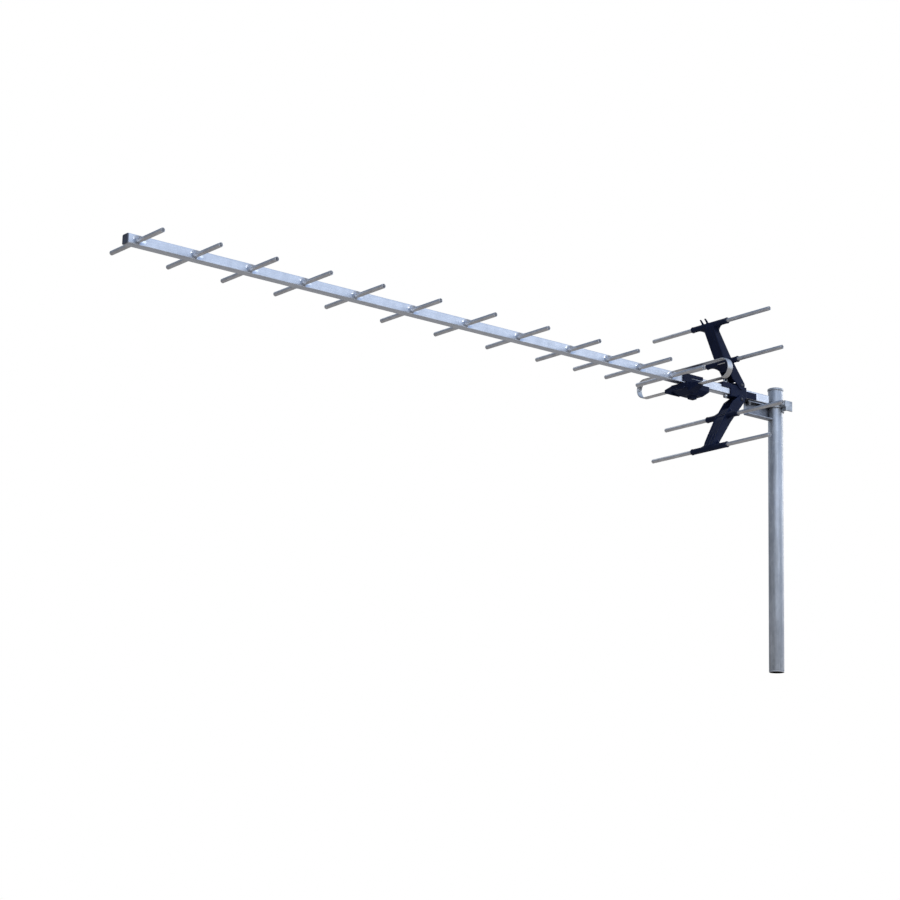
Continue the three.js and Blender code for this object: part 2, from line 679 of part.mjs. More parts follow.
// ---- Mast bracket and clamp ----
// Lipped channel opening to the near side, its rear edges hollowed to seat on clamp and mast.
function mastBracket() {
  const top = -BOOM / 2 - GAP;
  const half = BRACKET_HALF;
  const outer = block(BRACKET_FRONT, BRACKET_REAR, -half, half, BRACKET_BASE, top);
  const inside = half - STEEL;
  const hollow = block(
    BRACKET_FRONT - 1, BRACKET_REAR + 1, -inside, inside, BRACKET_BASE + STEEL, top - STEEL,
  );
  const slot = block(
    BRACKET_FRONT - 1, 0, -half - 1, 0, BRACKET_BASE + BRACKET_LIP, top - BRACKET_LIP,
  );
  return cut(outer, [
    hollow, slot,
    bar('z', MAST_R + GAP + BAND + GAP, BAND_BASE - GAP, 0, 0, 0, SMOOTH),
    bar('z', MAST_R + GAP, -80, 0, 0, 0, SMOOTH),
    ...BOOM_BOLT_X.map((x) => bar('z', BOOM_BOLT_R + GAP, -30, 0, x, 0)),
  ]);
}

// A half ring round the mast on the side `s` of it, with a flat flange at each end.
function clampHalf(s, z0, z1) {
  const ring = bar('z', MAST_R + GAP + BAND, z0, z1, 0, 0, SMOOTH);
  const near = CLAMP_FACE;
  const flange = block(near, near + BAND, -CLAMP_HALF, CLAMP_HALF, z0, z1);
  const keep = block(near, 60, -60, 60, z0 - 1, z1 + 1);
  const half = ring.intersect(keep).add(flange);
  const shaped = half.subtract(bar('z', MAST_R + GAP, z0 - 1, z1 + 1, 0, 0, SMOOTH));
  const holes = [-1, 1].map((k) => (
    bar('x', BOLT_R + GAP, -20, 40, k * CLAMP_BOLT_Y, CLAMP_BOLT_Z)
  ));
  return cut(s > 0 ? shaped : shaped.mirror([1, 0, 0]), holes);
}

function rearSaddle() {
  const lips = [-1, 1].map((s) => {
    const outer = s * CLAMP_HALF;
    const inner = s * (CLAMP_HALF - BAND);
    return block(
      1, CLAMP_LIP_X, Math.min(inner, outer), Math.max(inner, outer), SADDLE_BASE, SADDLE_TOP,
    );
  });
  return joined([clampHalf(1, SADDLE_BASE, SADDLE_TOP), ...lips]);
}

// Hexagon-headed bolt along X with its head in front.
function clampBolt(y) {
  const seat = -(CLAMP_FACE + BAND + GAP);
  const head = hexBar('x', NUT_AF, seat - BOLT_HEAD, seat, y, CLAMP_BOLT_Z);
  return head.add(bar('x', BOLT_R, seat - 1, BOLT_TIP_X, y, CLAMP_BOLT_Z));
}

function clampWasher(y) {
  const x0 = CLAMP_FACE + BAND + GAP;
  const ring = bar('x', WASHER_R, x0, x0 + WASHER_THICK, y, CLAMP_BOLT_Z, FINE);
  return ring.subtract(bar('x', BOLT_R + GAP, x0 - 1, x0 + 3, y, CLAMP_BOLT_Z));
}

function clampNut(y) {
  const x0 = CLAMP_FACE + BAND + GAP + WASHER_THICK + GAP;
  const nut = hexBar('x', NUT_AF, x0, x0 + NUT_HEIGHT, y, CLAMP_BOLT_Z);
  return nut.subtract(bar('x', BOLT_R + GAP, x0 - 1, x0 + 9, y, CLAMP_BOLT_Z));
}

// Round-headed bolt down through the boom and the bracket.
function boomBolt(x) {
  const top = BOOM / 2 + GAP;
  const dome = new THREE.SphereGeometry(DOME_R, FINE, 10);
  dome.translate(x, 0, top + DOME_RISE - DOME_R);
  const head = solid(dome).intersect(block(x - 9, x + 9, -9, 9, top, top + DOME_R));
  return head.add(bar('z', BOOM_BOLT_R, -BOOM / 2 - STEEL - 9, top + 0.5, x, 0));
}

function boomNut(x) {
  const top = -BOOM / 2 - GAP - STEEL - GAP;
  const nut = hexBar('z', BOOM_NUT_AF, top - BOOM_NUT_HEIGHT, top, x, 0);
  return nut.subtract(bar('z', BOOM_BOLT_R + 0.2, top - 9, top + 1, x, 0));
}

function addMount() {
  add('mast_bracket', mastBracket(), 'zinc');
  ['front', 'rear'].forEach((name, i) => {
    add(`boom_bolt_${name}`, boomBolt(BOOM_BOLT_X[i]), 'zinc');
    add(`boom_nut_${name}`, boomNut(BOOM_BOLT_X[i]), 'zinc');
  });
  add('clamp_front_half', clampHalf(-1, BAND_BASE, BAND_TOP), 'zinc');
  add('clamp_rear_saddle', rearSaddle(), 'zinc');
  ['near', 'far'].forEach((name, i) => {
    const y = i === 0 ? -CLAMP_BOLT_Y : CLAMP_BOLT_Y;
    add(`clamp_bolt_${name}`, clampBolt(y), 'zinc');
    add(`clamp_washer_${name}`, clampWasher(y), 'zinc');
    add(`clamp_nut_${name}`, clampNut(y), 'zinc');
  });
}

addMast();
addBoom();
addFeed();
addReflector();
addMount();

export default group;
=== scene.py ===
import json
import math

import bmesh
import bpy
from mathutils import Matrix, Vector


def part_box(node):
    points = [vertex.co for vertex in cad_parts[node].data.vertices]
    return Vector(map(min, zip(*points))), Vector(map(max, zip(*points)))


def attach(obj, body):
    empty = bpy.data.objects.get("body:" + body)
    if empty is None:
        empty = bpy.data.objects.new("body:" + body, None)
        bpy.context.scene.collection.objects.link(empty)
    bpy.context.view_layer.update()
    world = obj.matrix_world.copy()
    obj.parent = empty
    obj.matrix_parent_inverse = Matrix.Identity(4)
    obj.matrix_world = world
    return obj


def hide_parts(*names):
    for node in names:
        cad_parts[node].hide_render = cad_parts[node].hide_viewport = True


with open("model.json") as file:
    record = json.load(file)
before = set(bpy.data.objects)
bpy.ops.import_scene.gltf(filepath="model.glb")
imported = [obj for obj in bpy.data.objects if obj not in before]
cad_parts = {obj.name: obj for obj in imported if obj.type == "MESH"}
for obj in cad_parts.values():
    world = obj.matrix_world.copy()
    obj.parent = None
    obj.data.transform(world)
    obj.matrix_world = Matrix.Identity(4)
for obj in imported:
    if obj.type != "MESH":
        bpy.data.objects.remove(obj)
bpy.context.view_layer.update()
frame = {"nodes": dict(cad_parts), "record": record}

MM = 0.001
# Clearance between neighbouring pieces.
GAP = 0.3 * MM
RECORD = frame["record"]
BODY_OF = {n: b for b, nodes in RECORD["behaviour"]["bodies"].items() for n in nodes}
SLOT_OF = {s["node"]: s["material_slot"] for s in RECORD["subparts"]}


# ---------------------------------------------------------------- frame places
def centre(node):
    low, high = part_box(node)
    return (Vector(low) + Vector(high)) / 2


def size(node):
    low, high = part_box(node)
    return Vector(high) - Vector(low)


BOOM = centre("boom")
BOOM_HALF = size("boom").y / 2
MAST_R = size("mast_tube").x / 2
ROD_R = size("director_01").x / 2
DIRECTORS = [n for n in SLOT_OF if n.startswith("director_")]
REFLECTOR_RODS = [n for n in SLOT_OF if n.startswith("reflector_rod_")]

MAST_FOOT = Vector((0, 0, 0))
MAST_WALL = 2 * MM
MAST_FACETS = 96
# Outer radius of what plugs into the mast's ends.
PLUG_R = MAST_R - MAST_WALL - GAP

# Half length and half height of a boom dimple, and how many of these it reaches out.
DIMPLE_LONG = 16 * MM
DIMPLE_HIGH = 9.6 * MM
DIMPLE_REACH = 1.2

HEX_FACETS = 48
M6_FLATS = 10 * MM
M5_FLATS = 8 * MM
M5_BORE = 2.6 * MM
M5_R = 2.5 * MM
M5_PITCH = 0.8 * MM

CLAMP_SHEET = 2.5 * MM
# Radius of the middle of the clamp's sheet round the mast.
CLAMP_R = MAST_R + GAP + CLAMP_SHEET / 2

PIN_BORE = 2.8 * MM
ARM_RIM = 1.2 * MM
ARM_WEB = 2.5 * MM
# Front edge of an arm: share of the length from the pin, millimetres towards the rear.
ARM_FRONT_EDGE = [(0.15, -18.0), (0.53, -17.6), (0.92, -10.6)]
# Shares of the length at which the front web starts, and its full-depth head.
ARM_WEB_START = 0.286
ARM_HEAD_START = 0.78

# What the metal reflects, from straight down (0) past the horizon (0.5) to straight up (1).
SKY = [(0.0, (0.13, 0.115, 0.09)), (0.48, (0.27, 0.24, 0.20)),
       (0.54, (0.66, 0.74, 0.88)), (1.0, (0.36, 0.50, 0.78))]
BRIGHT_SIDE = Vector((0.30, -0.92, 0.25))


# ---------------------------------------------------------------- mesh helpers
def make_object(name, verts, faces):
    mesh = bpy.data.meshes.new(name)
    mesh.from_pydata([tuple(v) for v in verts], [], faces)
    mesh.update()
    obj = bpy.data.objects.new(name, mesh)
    bpy.context.scene.collection.objects.link(obj)
    return obj


def shade(obj, angle):
    """Smooth shading, with edges sharper than `angle` degrees kept crisp."""
    obj.data.shade_smooth()
    obj.data.set_sharp_from_angle(angle=math.radians(angle))


def bevel(obj, width, angle):
    """Rounds edges sharper than `angle` degrees by a modifier; the mesh stays."""
    mod = obj.modifiers.new("edges", "BEVEL")
    mod.width = width
    mod.segments = 2
    mod.limit_method = "ANGLE"
    mod.angle_limit = math.radians(angle)
    mod.harden_normals = True


def skin_rings(rings, loop=False):
    """Vertices and faces of a closed skin through rings of equal count."""
    count = len(rings[0])
    verts = [p for ring in rings for p in ring]
    faces = []
    steps = len(rings) if loop else len(rings) - 1
    for i in range(steps):
        a = i * count
        b = ((i + 1) % len(rings)) * count
        for k in range(count):
            n = (k + 1) % count
            faces.append((a + k, a + n, b + n, b + k))
    if not loop:
        faces.append(tuple(reversed(range(count))))
        last = (len(rings) - 1) * count
        faces.append(tuple(range(last, last + count)))
    return verts, faces


AXES = {
    "x": (Vector((1, 0, 0)), Vector((0, 1, 0)), Vector((0, 0, 1))),
    "y": (Vector((0, 1, 0)), Vector((0, 0, 1)), Vector((1, 0, 0))),
    "z": (Vector((0, 0, 1)), Vector((1, 0, 0)), Vector((0, 1, 0))),
}


def circle(axis, at, r, facets):
    """A ring round `at` whose radius may depend on the angle."""
    _, side, up = AXES[axis]
    points = []
    for k in range(facets):
        a = math.tau * k / facets
        radius = r(a) if callable(r) else r
        points.append(at + side * (radius * math.cos(a)) + up * (radius * math.sin(a)))
    return points


def turned(name, axis, origin, profile, facets=48, loop=False):
    """A turned shape: `profile` lists (radius, distance along the axis)."""
    along = AXES[axis][0]
    rings = [circle(axis, origin + along * t, r, facets) for r, t in profile]
    return make_object(name, *skin_rings(rings, loop))


def tube_profile(outer, inner, t0, t1, lip):
    """Wall of a tube with rounded lips, as a closed profile."""
    return [
        (outer - lip, t0), (outer - lip * 0.3, t0 + lip * 0.3), (outer, t0 + lip),
        (outer, t1 - lip), (outer - lip * 0.3, t1 - lip * 0.3), (outer - lip, t1),
        (inner + lip, t1), (inner, t1 - lip), (inner, t0 + lip), (inner + lip, t0),
    ]


def fillet_path(points, radius):
    """A polyline with its corners rounded where `radius` allows."""
    steps = 5
    nearly_straight = math.radians(85)
    out = [points[0]]
    for before, corner, after in zip(points, points[1:], points[2:]):
        u = (before - corner).normalized()
        v = (after - corner).normalized()
        half = u.angle(v) / 2
        if half > nearly_straight:
            out.append(corner)
            continue
        reach = min(radius / math.tan(half), (before - corner).length * 0.49,
                    (after - corner).length * 0.49)
        r = reach * math.tan(half)
        middle = corner + (u + v).normalized() * (r / math.sin(half))
        start = corner + u * reach - middle
        end = corner + v * reach - middle
        for k in range(steps + 1):
            out.append(middle + start.slerp(end, k / steps).normalized() * r)
    out.append(points[-1])
    return out


def offset_path(points, distance):
    """The path moved sideways."""
    out = []
    for i, p in enumerate(points):
        a = points[max(i - 1, 0)]
        b = points[min(i + 1, len(points) - 1)]
        tangent = (b - a).normalized()
        out.append(p + Vector((-tangent.y, tangent.x)) * distance)
    return out


def sheet(name, path, thickness, w0, w1, place, bead=None):
    """Bent sheet metal: a 2D path given thickness, then width from w0 to w1.
    `place` turns (a, b, width) into a point; `bead` gives an outward bulge."""
    left = offset_path(path, thickness / 2)
    right = offset_path(path, -thickness / 2)
    outline = left + right[::-1]
    count = len(path)
    chamfer = thickness * 0.15
    steps = 12
    widths = [w0, w0 + chamfer]
    widths += [w0 + (w1 - w0) * k / steps for k in range(1, steps)]
    widths += [w1 - chamfer, w1]
    rings = []
    for w in widths:
        shrink = 1 - chamfer / thickness if w in (w0, w1) else 1
        ring = []
        for i, p in enumerate(outline):
            base = path[i] if i < count else path[2 * count - 1 - i]
            q = base + (p - base) * shrink
            if bead:
                q = q + bead(base, (w - w0) / (w1 - w0))
            ring.append(place(q.x, q.y, w))
        rings.append(ring)
    return make_object(name, *skin_rings(rings))


def prism(outline, place, w0, w1):
    """A closed flat-sided solid."""
    rings = [[place(a, b, w) for a, b in outline] for w in (w0, w1)]
    return skin_rings(rings)


def box_solid(low, high):
    """A box as a closed solid."""
    x0, y0, z0 = low
    x1, y1, z1 = high
    rings = []
    for x in (x0, x1):
        rings.append([Vector((x, y, z)) for y, z in ((y0, z0), (y1, z0), (y1, z1), (y0, z1))])
    return skin_rings(rings)


def taper_solid(top, base):
    """Two rectangles (x0, x1, half, z), one above the other, joined."""
    rings = []
    for x0, x1, half, z in (base, top):
        rings.append([Vector((x0, -half, z)), Vector((x1, -half, z)),
                      Vector((x1, half, z)), Vector((x0, half, z))])
    return skin_rings(rings)


def bar_solid(axis, at, r, t0, t1, facets=40):
    """A round bar as a closed solid."""
    along = AXES[axis][0]
    rings = [circle(axis, at + along * t, r, facets) for t in (t0, t1)]
    return skin_rings(rings)


def outward(obj):
    """Makes every closed shell face outwards."""
    bm = bmesh.new()
    bm.from_mesh(obj.data)
    bmesh.ops.recalc_face_normals(bm, faces=bm.faces)
    bm.to_mesh(obj.data)
    bm.free()


def merge_solids(name, solids):
    """One object from several closed solids, which may overlap."""
    verts = []
    faces = []
    for v, f in solids:
        base = len(verts)
        verts += v
        faces += [tuple(i + base for i in face) for face in f]
    obj = make_object(name, verts, faces)
    outward(obj)
    return obj


def bake_modifiers(obj):
    """Replaces the mesh with its modified form."""
    graph = bpy.context.evaluated_depsgraph_get()
    made = bpy.data.meshes.new_from_object(obj.evaluated_get(graph))
    obj.modifiers.clear()
    obj.data = made
    made.name = obj.name


def subtract(obj, cutter):
    """Cuts a closed solid out of a closed solid."""
    outward(cutter)
    mod = obj.modifiers.new("cut", "BOOLEAN")
    mod.operation = "DIFFERENCE"
    mod.solver = "MANIFOLD"
    mod.object = cutter
    bake_modifiers(obj)
    bpy.data.objects.remove(cutter)


def remesh(obj, voxel):
    """A modifier that rebuilds the mesh as one even skin, in cells `voxel` wide."""
    mod = obj.modifiers.new("join", "REMESH")
    mod.mode = "VOXEL"
    mod.voxel_size = voxel


def moulded(name, solids, cuts, voxel, keep=0.35, soften=3):
    """A moulded piece: solids run together with small fillets, then cut."""
    obj = merge_solids(name, solids)
    remesh(obj, voxel)
    bake_modifiers(obj)
    if cuts:
        cutter = merge_solids(name + "_cut", cuts)
        remesh(cutter, voxel)
        bake_modifiers(cutter)
        subtract(obj, cutter)
        remesh(obj, voxel)
    relax = obj.modifiers.new("fillets", "SMOOTH")
    relax.factor = 0.5
    relax.iterations = soften
    thin = obj.modifiers.new("thin", "DECIMATE")
    thin.ratio = keep
    bake_modifiers(obj)
    shade(obj, 40)
    return obj


def finish_piece(obj, node, finish):
    """Gives a piece its material and its place in the frame."""
    obj.data.materials.clear()
    obj.data.materials.append(MATERIALS[finish])
    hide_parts(node)
    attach(obj, BODY_OF[node])


def finish_shell(obj, node, finish, angle):
    """The same for a closed shell that still needs facing outwards and shading."""
    outward(obj)
    shade(obj, angle)
    finish_piece(obj, node, finish)


# ---------------------------------------------------------------- materials
class Nodes:
    """Short calls for building one node tree."""

    def __init__(self, tree):
        self.tree = tree

    def node(self, kind, **settings):
        made = self.tree.nodes.new(kind)
        for key, value in settings.items():
            setattr(made, key, value)
        return made

    def link(self, source, target):
        self.tree.links.new(source, target)

    def ramp(self, value, stops):
        made = self.node("ShaderNodeValToRGB")
        elements = made.color_ramp.elements
        while len(elements) < len(stops):
            elements.new(0.5)
        for element, (where, colour) in zip(elements, stops):
            element.position = where
            element.color = (*colour, 1.0)
        self.link(value, made.inputs["Fac"])
        return made.outputs["Color"]

    def spread(self, value, low, high, out_low, out_high):
        made = self.node("ShaderNodeMapRange")
        made.inputs["From Min"].default_value = low
        made.inputs["From Max"].default_value = high
        made.inputs["To Min"].default_value = out_low
        made.inputs["To Max"].default_value = out_high
        self.link(value, made.inputs["Value"])
        return made.outputs["Result"]

    def mix(self, share, a, b, blend="MIX"):
        made = self.node("ShaderNodeMix", data_type="RGBA", blend_type=blend)
        if isinstance(share, float):
            made.inputs[0].default_value = share
        else:
            self.link(share, made.inputs[0])
        for value, socket in ((a, made.inputs[6]), (b, made.inputs[7])):
            if isinstance(value, tuple):
                socket.default_value = (*value, 1.0)
            else:
                self.link(value, socket)
        return made.outputs[2]


class Shader(Nodes):
    """Short calls for building one Principled material."""

    def __init__(self, name):
        self.material = bpy.data.materials.new(name)
        self.material.use_nodes = True
        super().__init__(self.material.node_tree)
        self.bsdf = self.tree.nodes["Principled BSDF"]
        self.normal = None

    def coords(self, scale):
        where = self.node("ShaderNodeTexCoord")
        mapping = self.node("ShaderNodeMapping")
        mapping.inputs["Scale"].default_value = scale
        self.link(where.outputs["Object"], mapping.inputs["Vector"])
        return mapping.outputs["Vector"]

    def noise(self, scale, detail=4.0, rough=0.55):
        made = self.node("ShaderNodeTexNoise")
        made.inputs["Scale"].default_value = 1.0
        made.inputs["Detail"].default_value = detail
        made.inputs["Roughness"].default_value = rough
        self.link(self.coords(scale), made.inputs["Vector"])
        return made.outputs["Fac"]

    def cells(self, scale, colour=True):
        made = self.node("ShaderNodeTexVoronoi", feature="F1")
        made.inputs["Scale"].default_value = 1.0
        self.link(self.coords(scale), made.inputs["Vector"])
        return made.outputs["Color" if colour else "Distance"]

    def bump(self, height, depth, strength):
        made = self.node("ShaderNodeBump")
        made.inputs["Strength"].default_value = strength
        made.inputs["Distance"].default_value = depth
        self.link(height, made.inputs["Height"])
        if self.normal:
            self.link(self.normal, made.inputs["Normal"])
        self.normal = made.outputs["Normal"]

    def done(self, colour, roughness, metallic):
        self.link(colour, self.bsdf.inputs["Base Color"])
        self.link(roughness, self.bsdf.inputs["Roughness"])
        self.bsdf.inputs["Metallic"].default_value = metallic
        if self.normal:
            self.link(self.normal, self.bsdf.inputs["Normal"])
        return self.material


def along_axis(axis, fine, coarse):
    """Texture scale with long features along one axis."""
    return tuple(coarse if a == axis else fine for a in "xyz")


def drawn_aluminium(name, axis, low, high, rough=(0.34, 0.5)):
    """Extruded or drawn metal: fine draw lines along the piece, dull oxide bloom."""
    s = Shader(name)
    lines = s.noise(along_axis(axis, 1400, 12), 3.0)
    bloom = s.noise((55, 55, 55), 5.0, 0.6)
    specks = s.noise((900, 900, 900), 2.0)
    base = s.ramp(bloom, [(0.3, low), (0.7, high)])
    dark = s.ramp(lines, [(0.35, (0.86, 0.86, 0.87)), (0.65, (1, 1, 1))])
    colour = s.mix(1.0, base, dark, "MULTIPLY")
    pits = s.ramp(specks, [(0.28, (0.80, 0.80, 0.80)), (0.36, (1, 1, 1))])
    colour = s.mix(0.35, colour, s.mix(1.0, colour, pits, "MULTIPLY"))
    s.bump(lines, 0.00006, 0.6)
    s.bump(bloom, 0.0004, 0.25)
    return s.done(colour, s.spread(lines, 0.3, 0.7, *rough), 0.92)


def galvanised(name):
    """Hot-dip zinc on tube: crystal spangle, dull patches, faint vertical runs."""
    s = Shader(name)
    spangle = s.cells((210, 210, 120))
    grey = s.node("ShaderNodeRGBToBW")
    s.link(spangle, grey.inputs["Color"])
    runs = s.noise((160, 160, 9), 5.0, 0.6)
    cloud = s.noise((26, 26, 14), 5.0, 0.6)
    base = s.ramp(cloud, [(0.3, (0.54, 0.56, 0.59)), (0.72, (0.72, 0.74, 0.76))])
    facets = s.ramp(grey.outputs[0], [(0.1, (0.84, 0.85, 0.87)), (0.9, (1, 1, 1))])
    colour = s.mix(1.0, base, facets, "MULTIPLY")
    streak = s.ramp(runs, [(0.35, (0.80, 0.80, 0.79)), (0.6, (1, 1, 1))])
    colour = s.mix(1.0, colour, streak, "MULTIPLY")
    s.bump(grey.outputs[0], 0.00008, 0.5)
    s.bump(runs, 0.0003, 0.35)
    return s.done(colour, s.spread(grey.outputs[0], 0, 1, 0.46, 0.6), 0.9)


def plated_steel(name, low, high, hollow_shade=0.0):
    """Pressed and zinc-plated steel: mottled plating, fine pits, stains, and painted shade in hollows when
    asked for.
    """
    s = Shader(name)
    mottle = s.noise((180, 180, 180), 5.0, 0.65)
    stains = s.noise((48, 48, 48), 5.0, 0.6)
    pits = s.noise((1500, 1500, 1500), 2.0)
    base = s.ramp(mottle, [(0.3, low), (0.7, high)])
    stain = s.ramp(stains, [(0.36, (0.62, 0.61, 0.60)), (0.55, (1, 1, 1))])
    colour = s.mix(1.0, base, stain, "MULTIPLY")
    # Painted shade: ambient occlusion darkens hollows and corners towards a dark blue-grey.
    if hollow_shade:
        hollow = s.node("ShaderNodeAmbientOcclusion")
        hollow.inputs["Distance"].default_value = 0.03
        shaded = s.ramp(hollow.outputs["AO"], [(0.35, (0.10, 0.10, 0.13)), (0.85, (1, 1, 1))])
        colour = s.mix(hollow_shade, colour, s.mix(1.0, colour, shaded, "MULTIPLY"))
    s.bump(pits, 0.00005, 0.5)
    s.bump(mottle, 0.00015, 0.3)
    return s.done(colour, s.spread(mottle, 0.3, 0.7, 0.3, 0.52), 0.9)


def moulded_plastic(name, low, high, bloom, specular=0.13):
    """Weathered moulding: spark-eroded grain, flow marks, chalky bloom, and a painted highlight along convex
    edges.
    """
    s = Shader(name)
    grain = s.noise((2600, 2600, 2600), 2.0)
    flow = s.noise((40, 90, 40), 4.0, 0.6)
    chalk = s.noise((140, 140, 140), 5.0, 0.7)
    base = s.ramp(flow, [(0.3, low), (0.75, high)])
    dust = s.ramp(chalk, [(0.52, (0, 0, 0)), (0.75, (1, 1, 1))])
    grey = s.node("ShaderNodeRGBToBW")
    s.link(dust, grey.inputs["Color"])
    share = s.spread(grey.outputs[0], 0, 1, 0.0, 0.2)
    colour = s.mix(share, base, bloom)
    # Painted highlight: convex edges, found by pointiness, are lightened to stand in for light caught along
    # the rims.
    edges = s.node("ShaderNodeNewGeometry")
    painted_edge_highlight = s.spread(edges.outputs["Pointiness"], 0.53, 0.59, 0.0, 0.85)
    colour = s.mix(painted_edge_highlight, colour, tuple(2.6 * c for c in bloom))
    s.bump(grain, 0.00004, 0.7)
    s.bump(chalk, 0.00012, 0.25)
    s.bsdf.inputs["Specular IOR Level"].default_value = specular
    return s.done(colour, s.spread(chalk, 0.3, 0.7, 0.42, 0.62), 0.0)


def brass(name):
    """Turned brass: fine tool marks under a patchy tarnish."""
    s = Shader(name)
    turning = s.noise((300, 300, 2600), 2.0)
    tarnish = s.noise((320, 320, 320), 4.0, 0.6)
    colour = s.ramp(tarnish, [(0.3, (0.42, 0.27, 0.10)), (0.7, (0.80, 0.60, 0.28))])
    s.bump(turning, 0.00004, 0.4)
    return s.done(colour, s.spread(tarnish, 0.3, 0.7, 0.24, 0.45), 1.0)


def circuit_board(name):
    """Green solder mask over copper tracks, with a woven-glass texture."""
    s = Shader(name)
    tracks = s.node("ShaderNodeTexWave", wave_type="BANDS", bands_direction="Y")
    tracks.inputs["Scale"].default_value = 1.0
    tracks.inputs["Distortion"].default_value = 3.5
    tracks.inputs["Detail"].default_value = 0.0
    s.link(s.coords((24, 60, 24)), tracks.inputs["Vector"])
    weave = s.cells((1100, 1100, 1100), colour=False)
    colour = s.ramp(tracks.outputs["Fac"], [(0.42, (0.012, 0.07, 0.03)), (0.5, (0.03, 0.17, 0.07))])
    s.bump(tracks.outputs["Fac"], 0.00004, 0.5)
    s.bump(weave, 0.00002, 0.4)
    return s.done(colour, s.spread(weave, 0, 0.6, 0.22, 0.4), 0.0)


MATERIALS = {
    "boom": drawn_aluminium(
        "boom_drawn", "x", (0.60, 0.63, 0.68), (0.75, 0.78, 0.83), (0.24, 0.36)),
    "rod": drawn_aluminium("rod_drawn", "y", (0.62, 0.62, 0.63), (0.80, 0.80, 0.80)),
    "strap": drawn_aluminium("strap_rolled", "y", (0.60, 0.59, 0.57), (0.78, 0.77, 0.75), (0.2, 0.34)),
    "tube": galvanised("galvanised_tube"),
    "steel": plated_steel("plated_steel", (0.46, 0.48, 0.50), (0.68, 0.70, 0.72)),
    # Darker copy of the plated steel: its darker tone is painted shade, and the last argument adds painted
    # shade in its hollows.
    "bracket": plated_steel("bracket_steel_painted_shade", (0.30, 0.32, 0.36), (0.52, 0.54, 0.58), 1.0),
    "plastic": moulded_plastic(
        "dark_moulding", (0.005, 0.010, 0.034), (0.009, 0.016, 0.050), (0.026, 0.030, 0.056)),
    "cap_plastic": moulded_plastic(
        "cap_moulding", (0.060, 0.068, 0.090), (0.085, 0.095, 0.125), (0.16, 0.17, 0.20), 0.4),
    "grey_plastic": moulded_plastic(
        "grey_moulding", (0.22, 0.23, 0.25), (0.30, 0.31, 0.33), (0.42, 0.42, 0.42), 0.4),
    "pin": plated_steel("blackened_pin", (0.045, 0.048, 0.060), (0.090, 0.095, 0.11)),
    "brass": brass("turned_brass"),
    "board": circuit_board("circuit_board"),
}


# ---------------------------------------------------------------- rods and boom
def build_rod(node):
    """A drawn tube with rolled-over cut ends, open at both."""
    wall = 1.0 * MM
    lip = 0.35 * MM
    half = size(node).y / 2
    profile = tube_profile(ROD_R, ROD_R - wall, -half, half, lip)
    rod = turned(node + "_form", "y", centre(node), profile, 36, loop=True)
    finish_shell(rod, node, "rod", 50)


def boom_outline(half, corner, side_steps):
    """Rounded square in (y, z); its two upright sides carry extra points."""
    points = []
    flat = half - corner
    corner_steps = 4
    for turn in range(4):
        a0 = math.pi / 2 * turn
        cy, cz = ((flat, -flat), (flat, flat), (-flat, flat), (-flat, -flat))[turn]
        for k in range(corner_steps + 1):
            a = a0 - math.pi / 2 + math.pi / 2 * k / corner_steps
            points.append((cy + corner * math.cos(a), cz + corner * math.sin(a)))
        upright = turn in (0, 2)
        steps = side_steps if upright else 2
        sign = 1 if turn < 2 else -1
        for k in range(1, steps):
            t = -flat + 2 * flat * k / steps
            points.append((sign * half, sign * t) if upright else (-sign * t, sign * half))
    return points


def dimple(along, up):
    """How far a boom side is pressed in, `along` and `up` from a rod's centre."""
    depth = 2.8 * MM
    slope = 0.62
    groove = 0.15 * MM
    groove_width = 0.1
    r = math.hypot(along / DIMPLE_LONG, up / DIMPLE_HIGH)
    if r >= DIMPLE_REACH:
        return 0
    t = min(max((1 - r) / slope, 0), 1)
    edge = groove * math.exp(-((r - 1) / groove_width) ** 2)
    return abs(depth * (0.75 * t + 0.25 * t * t) - edge)


def build_boom():
    """Square tube with a dimple pressed round every director."""
    corner = 1.6 * MM
    wall = 1.3 * MM
    open_length = 90 * MM
    steps = 14
    outline = boom_outline(BOOM_HALF, corner, 16)
    low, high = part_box("boom")
    rods = sorted(centre(n).x for n in DIRECTORS)
    stations = {low[0], high[0]}
    for x in rods:
        stations |= {x + DIMPLE_LONG * DIMPLE_REACH * k / steps for k in range(-steps, steps + 1)}
    rings = []
    for x in sorted(stations):
        near = min(rods, key=lambda r: abs(r - x))
        ring = []
        for y, z in outline:
            if abs(abs(y) - BOOM_HALF) < 1e-7:
                y -= math.copysign(dimple(x - near, z), y)
            ring.append(Vector((x, y, BOOM.z + z)))
        rings.append(ring)
    shrink = (BOOM_HALF - wall) / BOOM_HALF
    for x in (high[0], high[0] - open_length):
        rings.append([Vector((x, y * shrink, BOOM.z + z * shrink)) for y, z in outline])
    boom = make_object("boom_form", *skin_rings(rings))
    finish_shell(boom, "boom", "boom", 40)


def build_boom_cap():
    """Push-in plug: rounded flange with a raised rim and a spigot."""
    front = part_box("boom_front_cap")[0][0]
    dish_depth = 0.72 * MM
    # (millimetres behind the front, share of the boom's half side)
    profile = [
        (0.0, 0.72), (0.0, 0.80), (0.25, 0.93), (0.6, 0.985), (1.0, 1.0), (1.9, 1.0), (2.4, 0.97),
        (2.4, 0.84), (12.0, 0.83), (15.0, 0.76),
    ]
    dished = boom_outline(BOOM_HALF * 0.6, 1.6 * MM, 4)
    rings = [[Vector((front + dish_depth, y, BOOM.z + z)) for y, z in dished]]
    for along, share in profile:
        outline = boom_outline(BOOM_HALF * share, 2.2 * MM * share, 4)
        rings.append([Vector((front + along * MM, y, BOOM.z + z)) for y, z in outline])
    cap = make_object("boom_front_cap_form", *skin_rings(rings))
    finish_shell(cap, "boom_front_cap", "cap_plastic", 40)


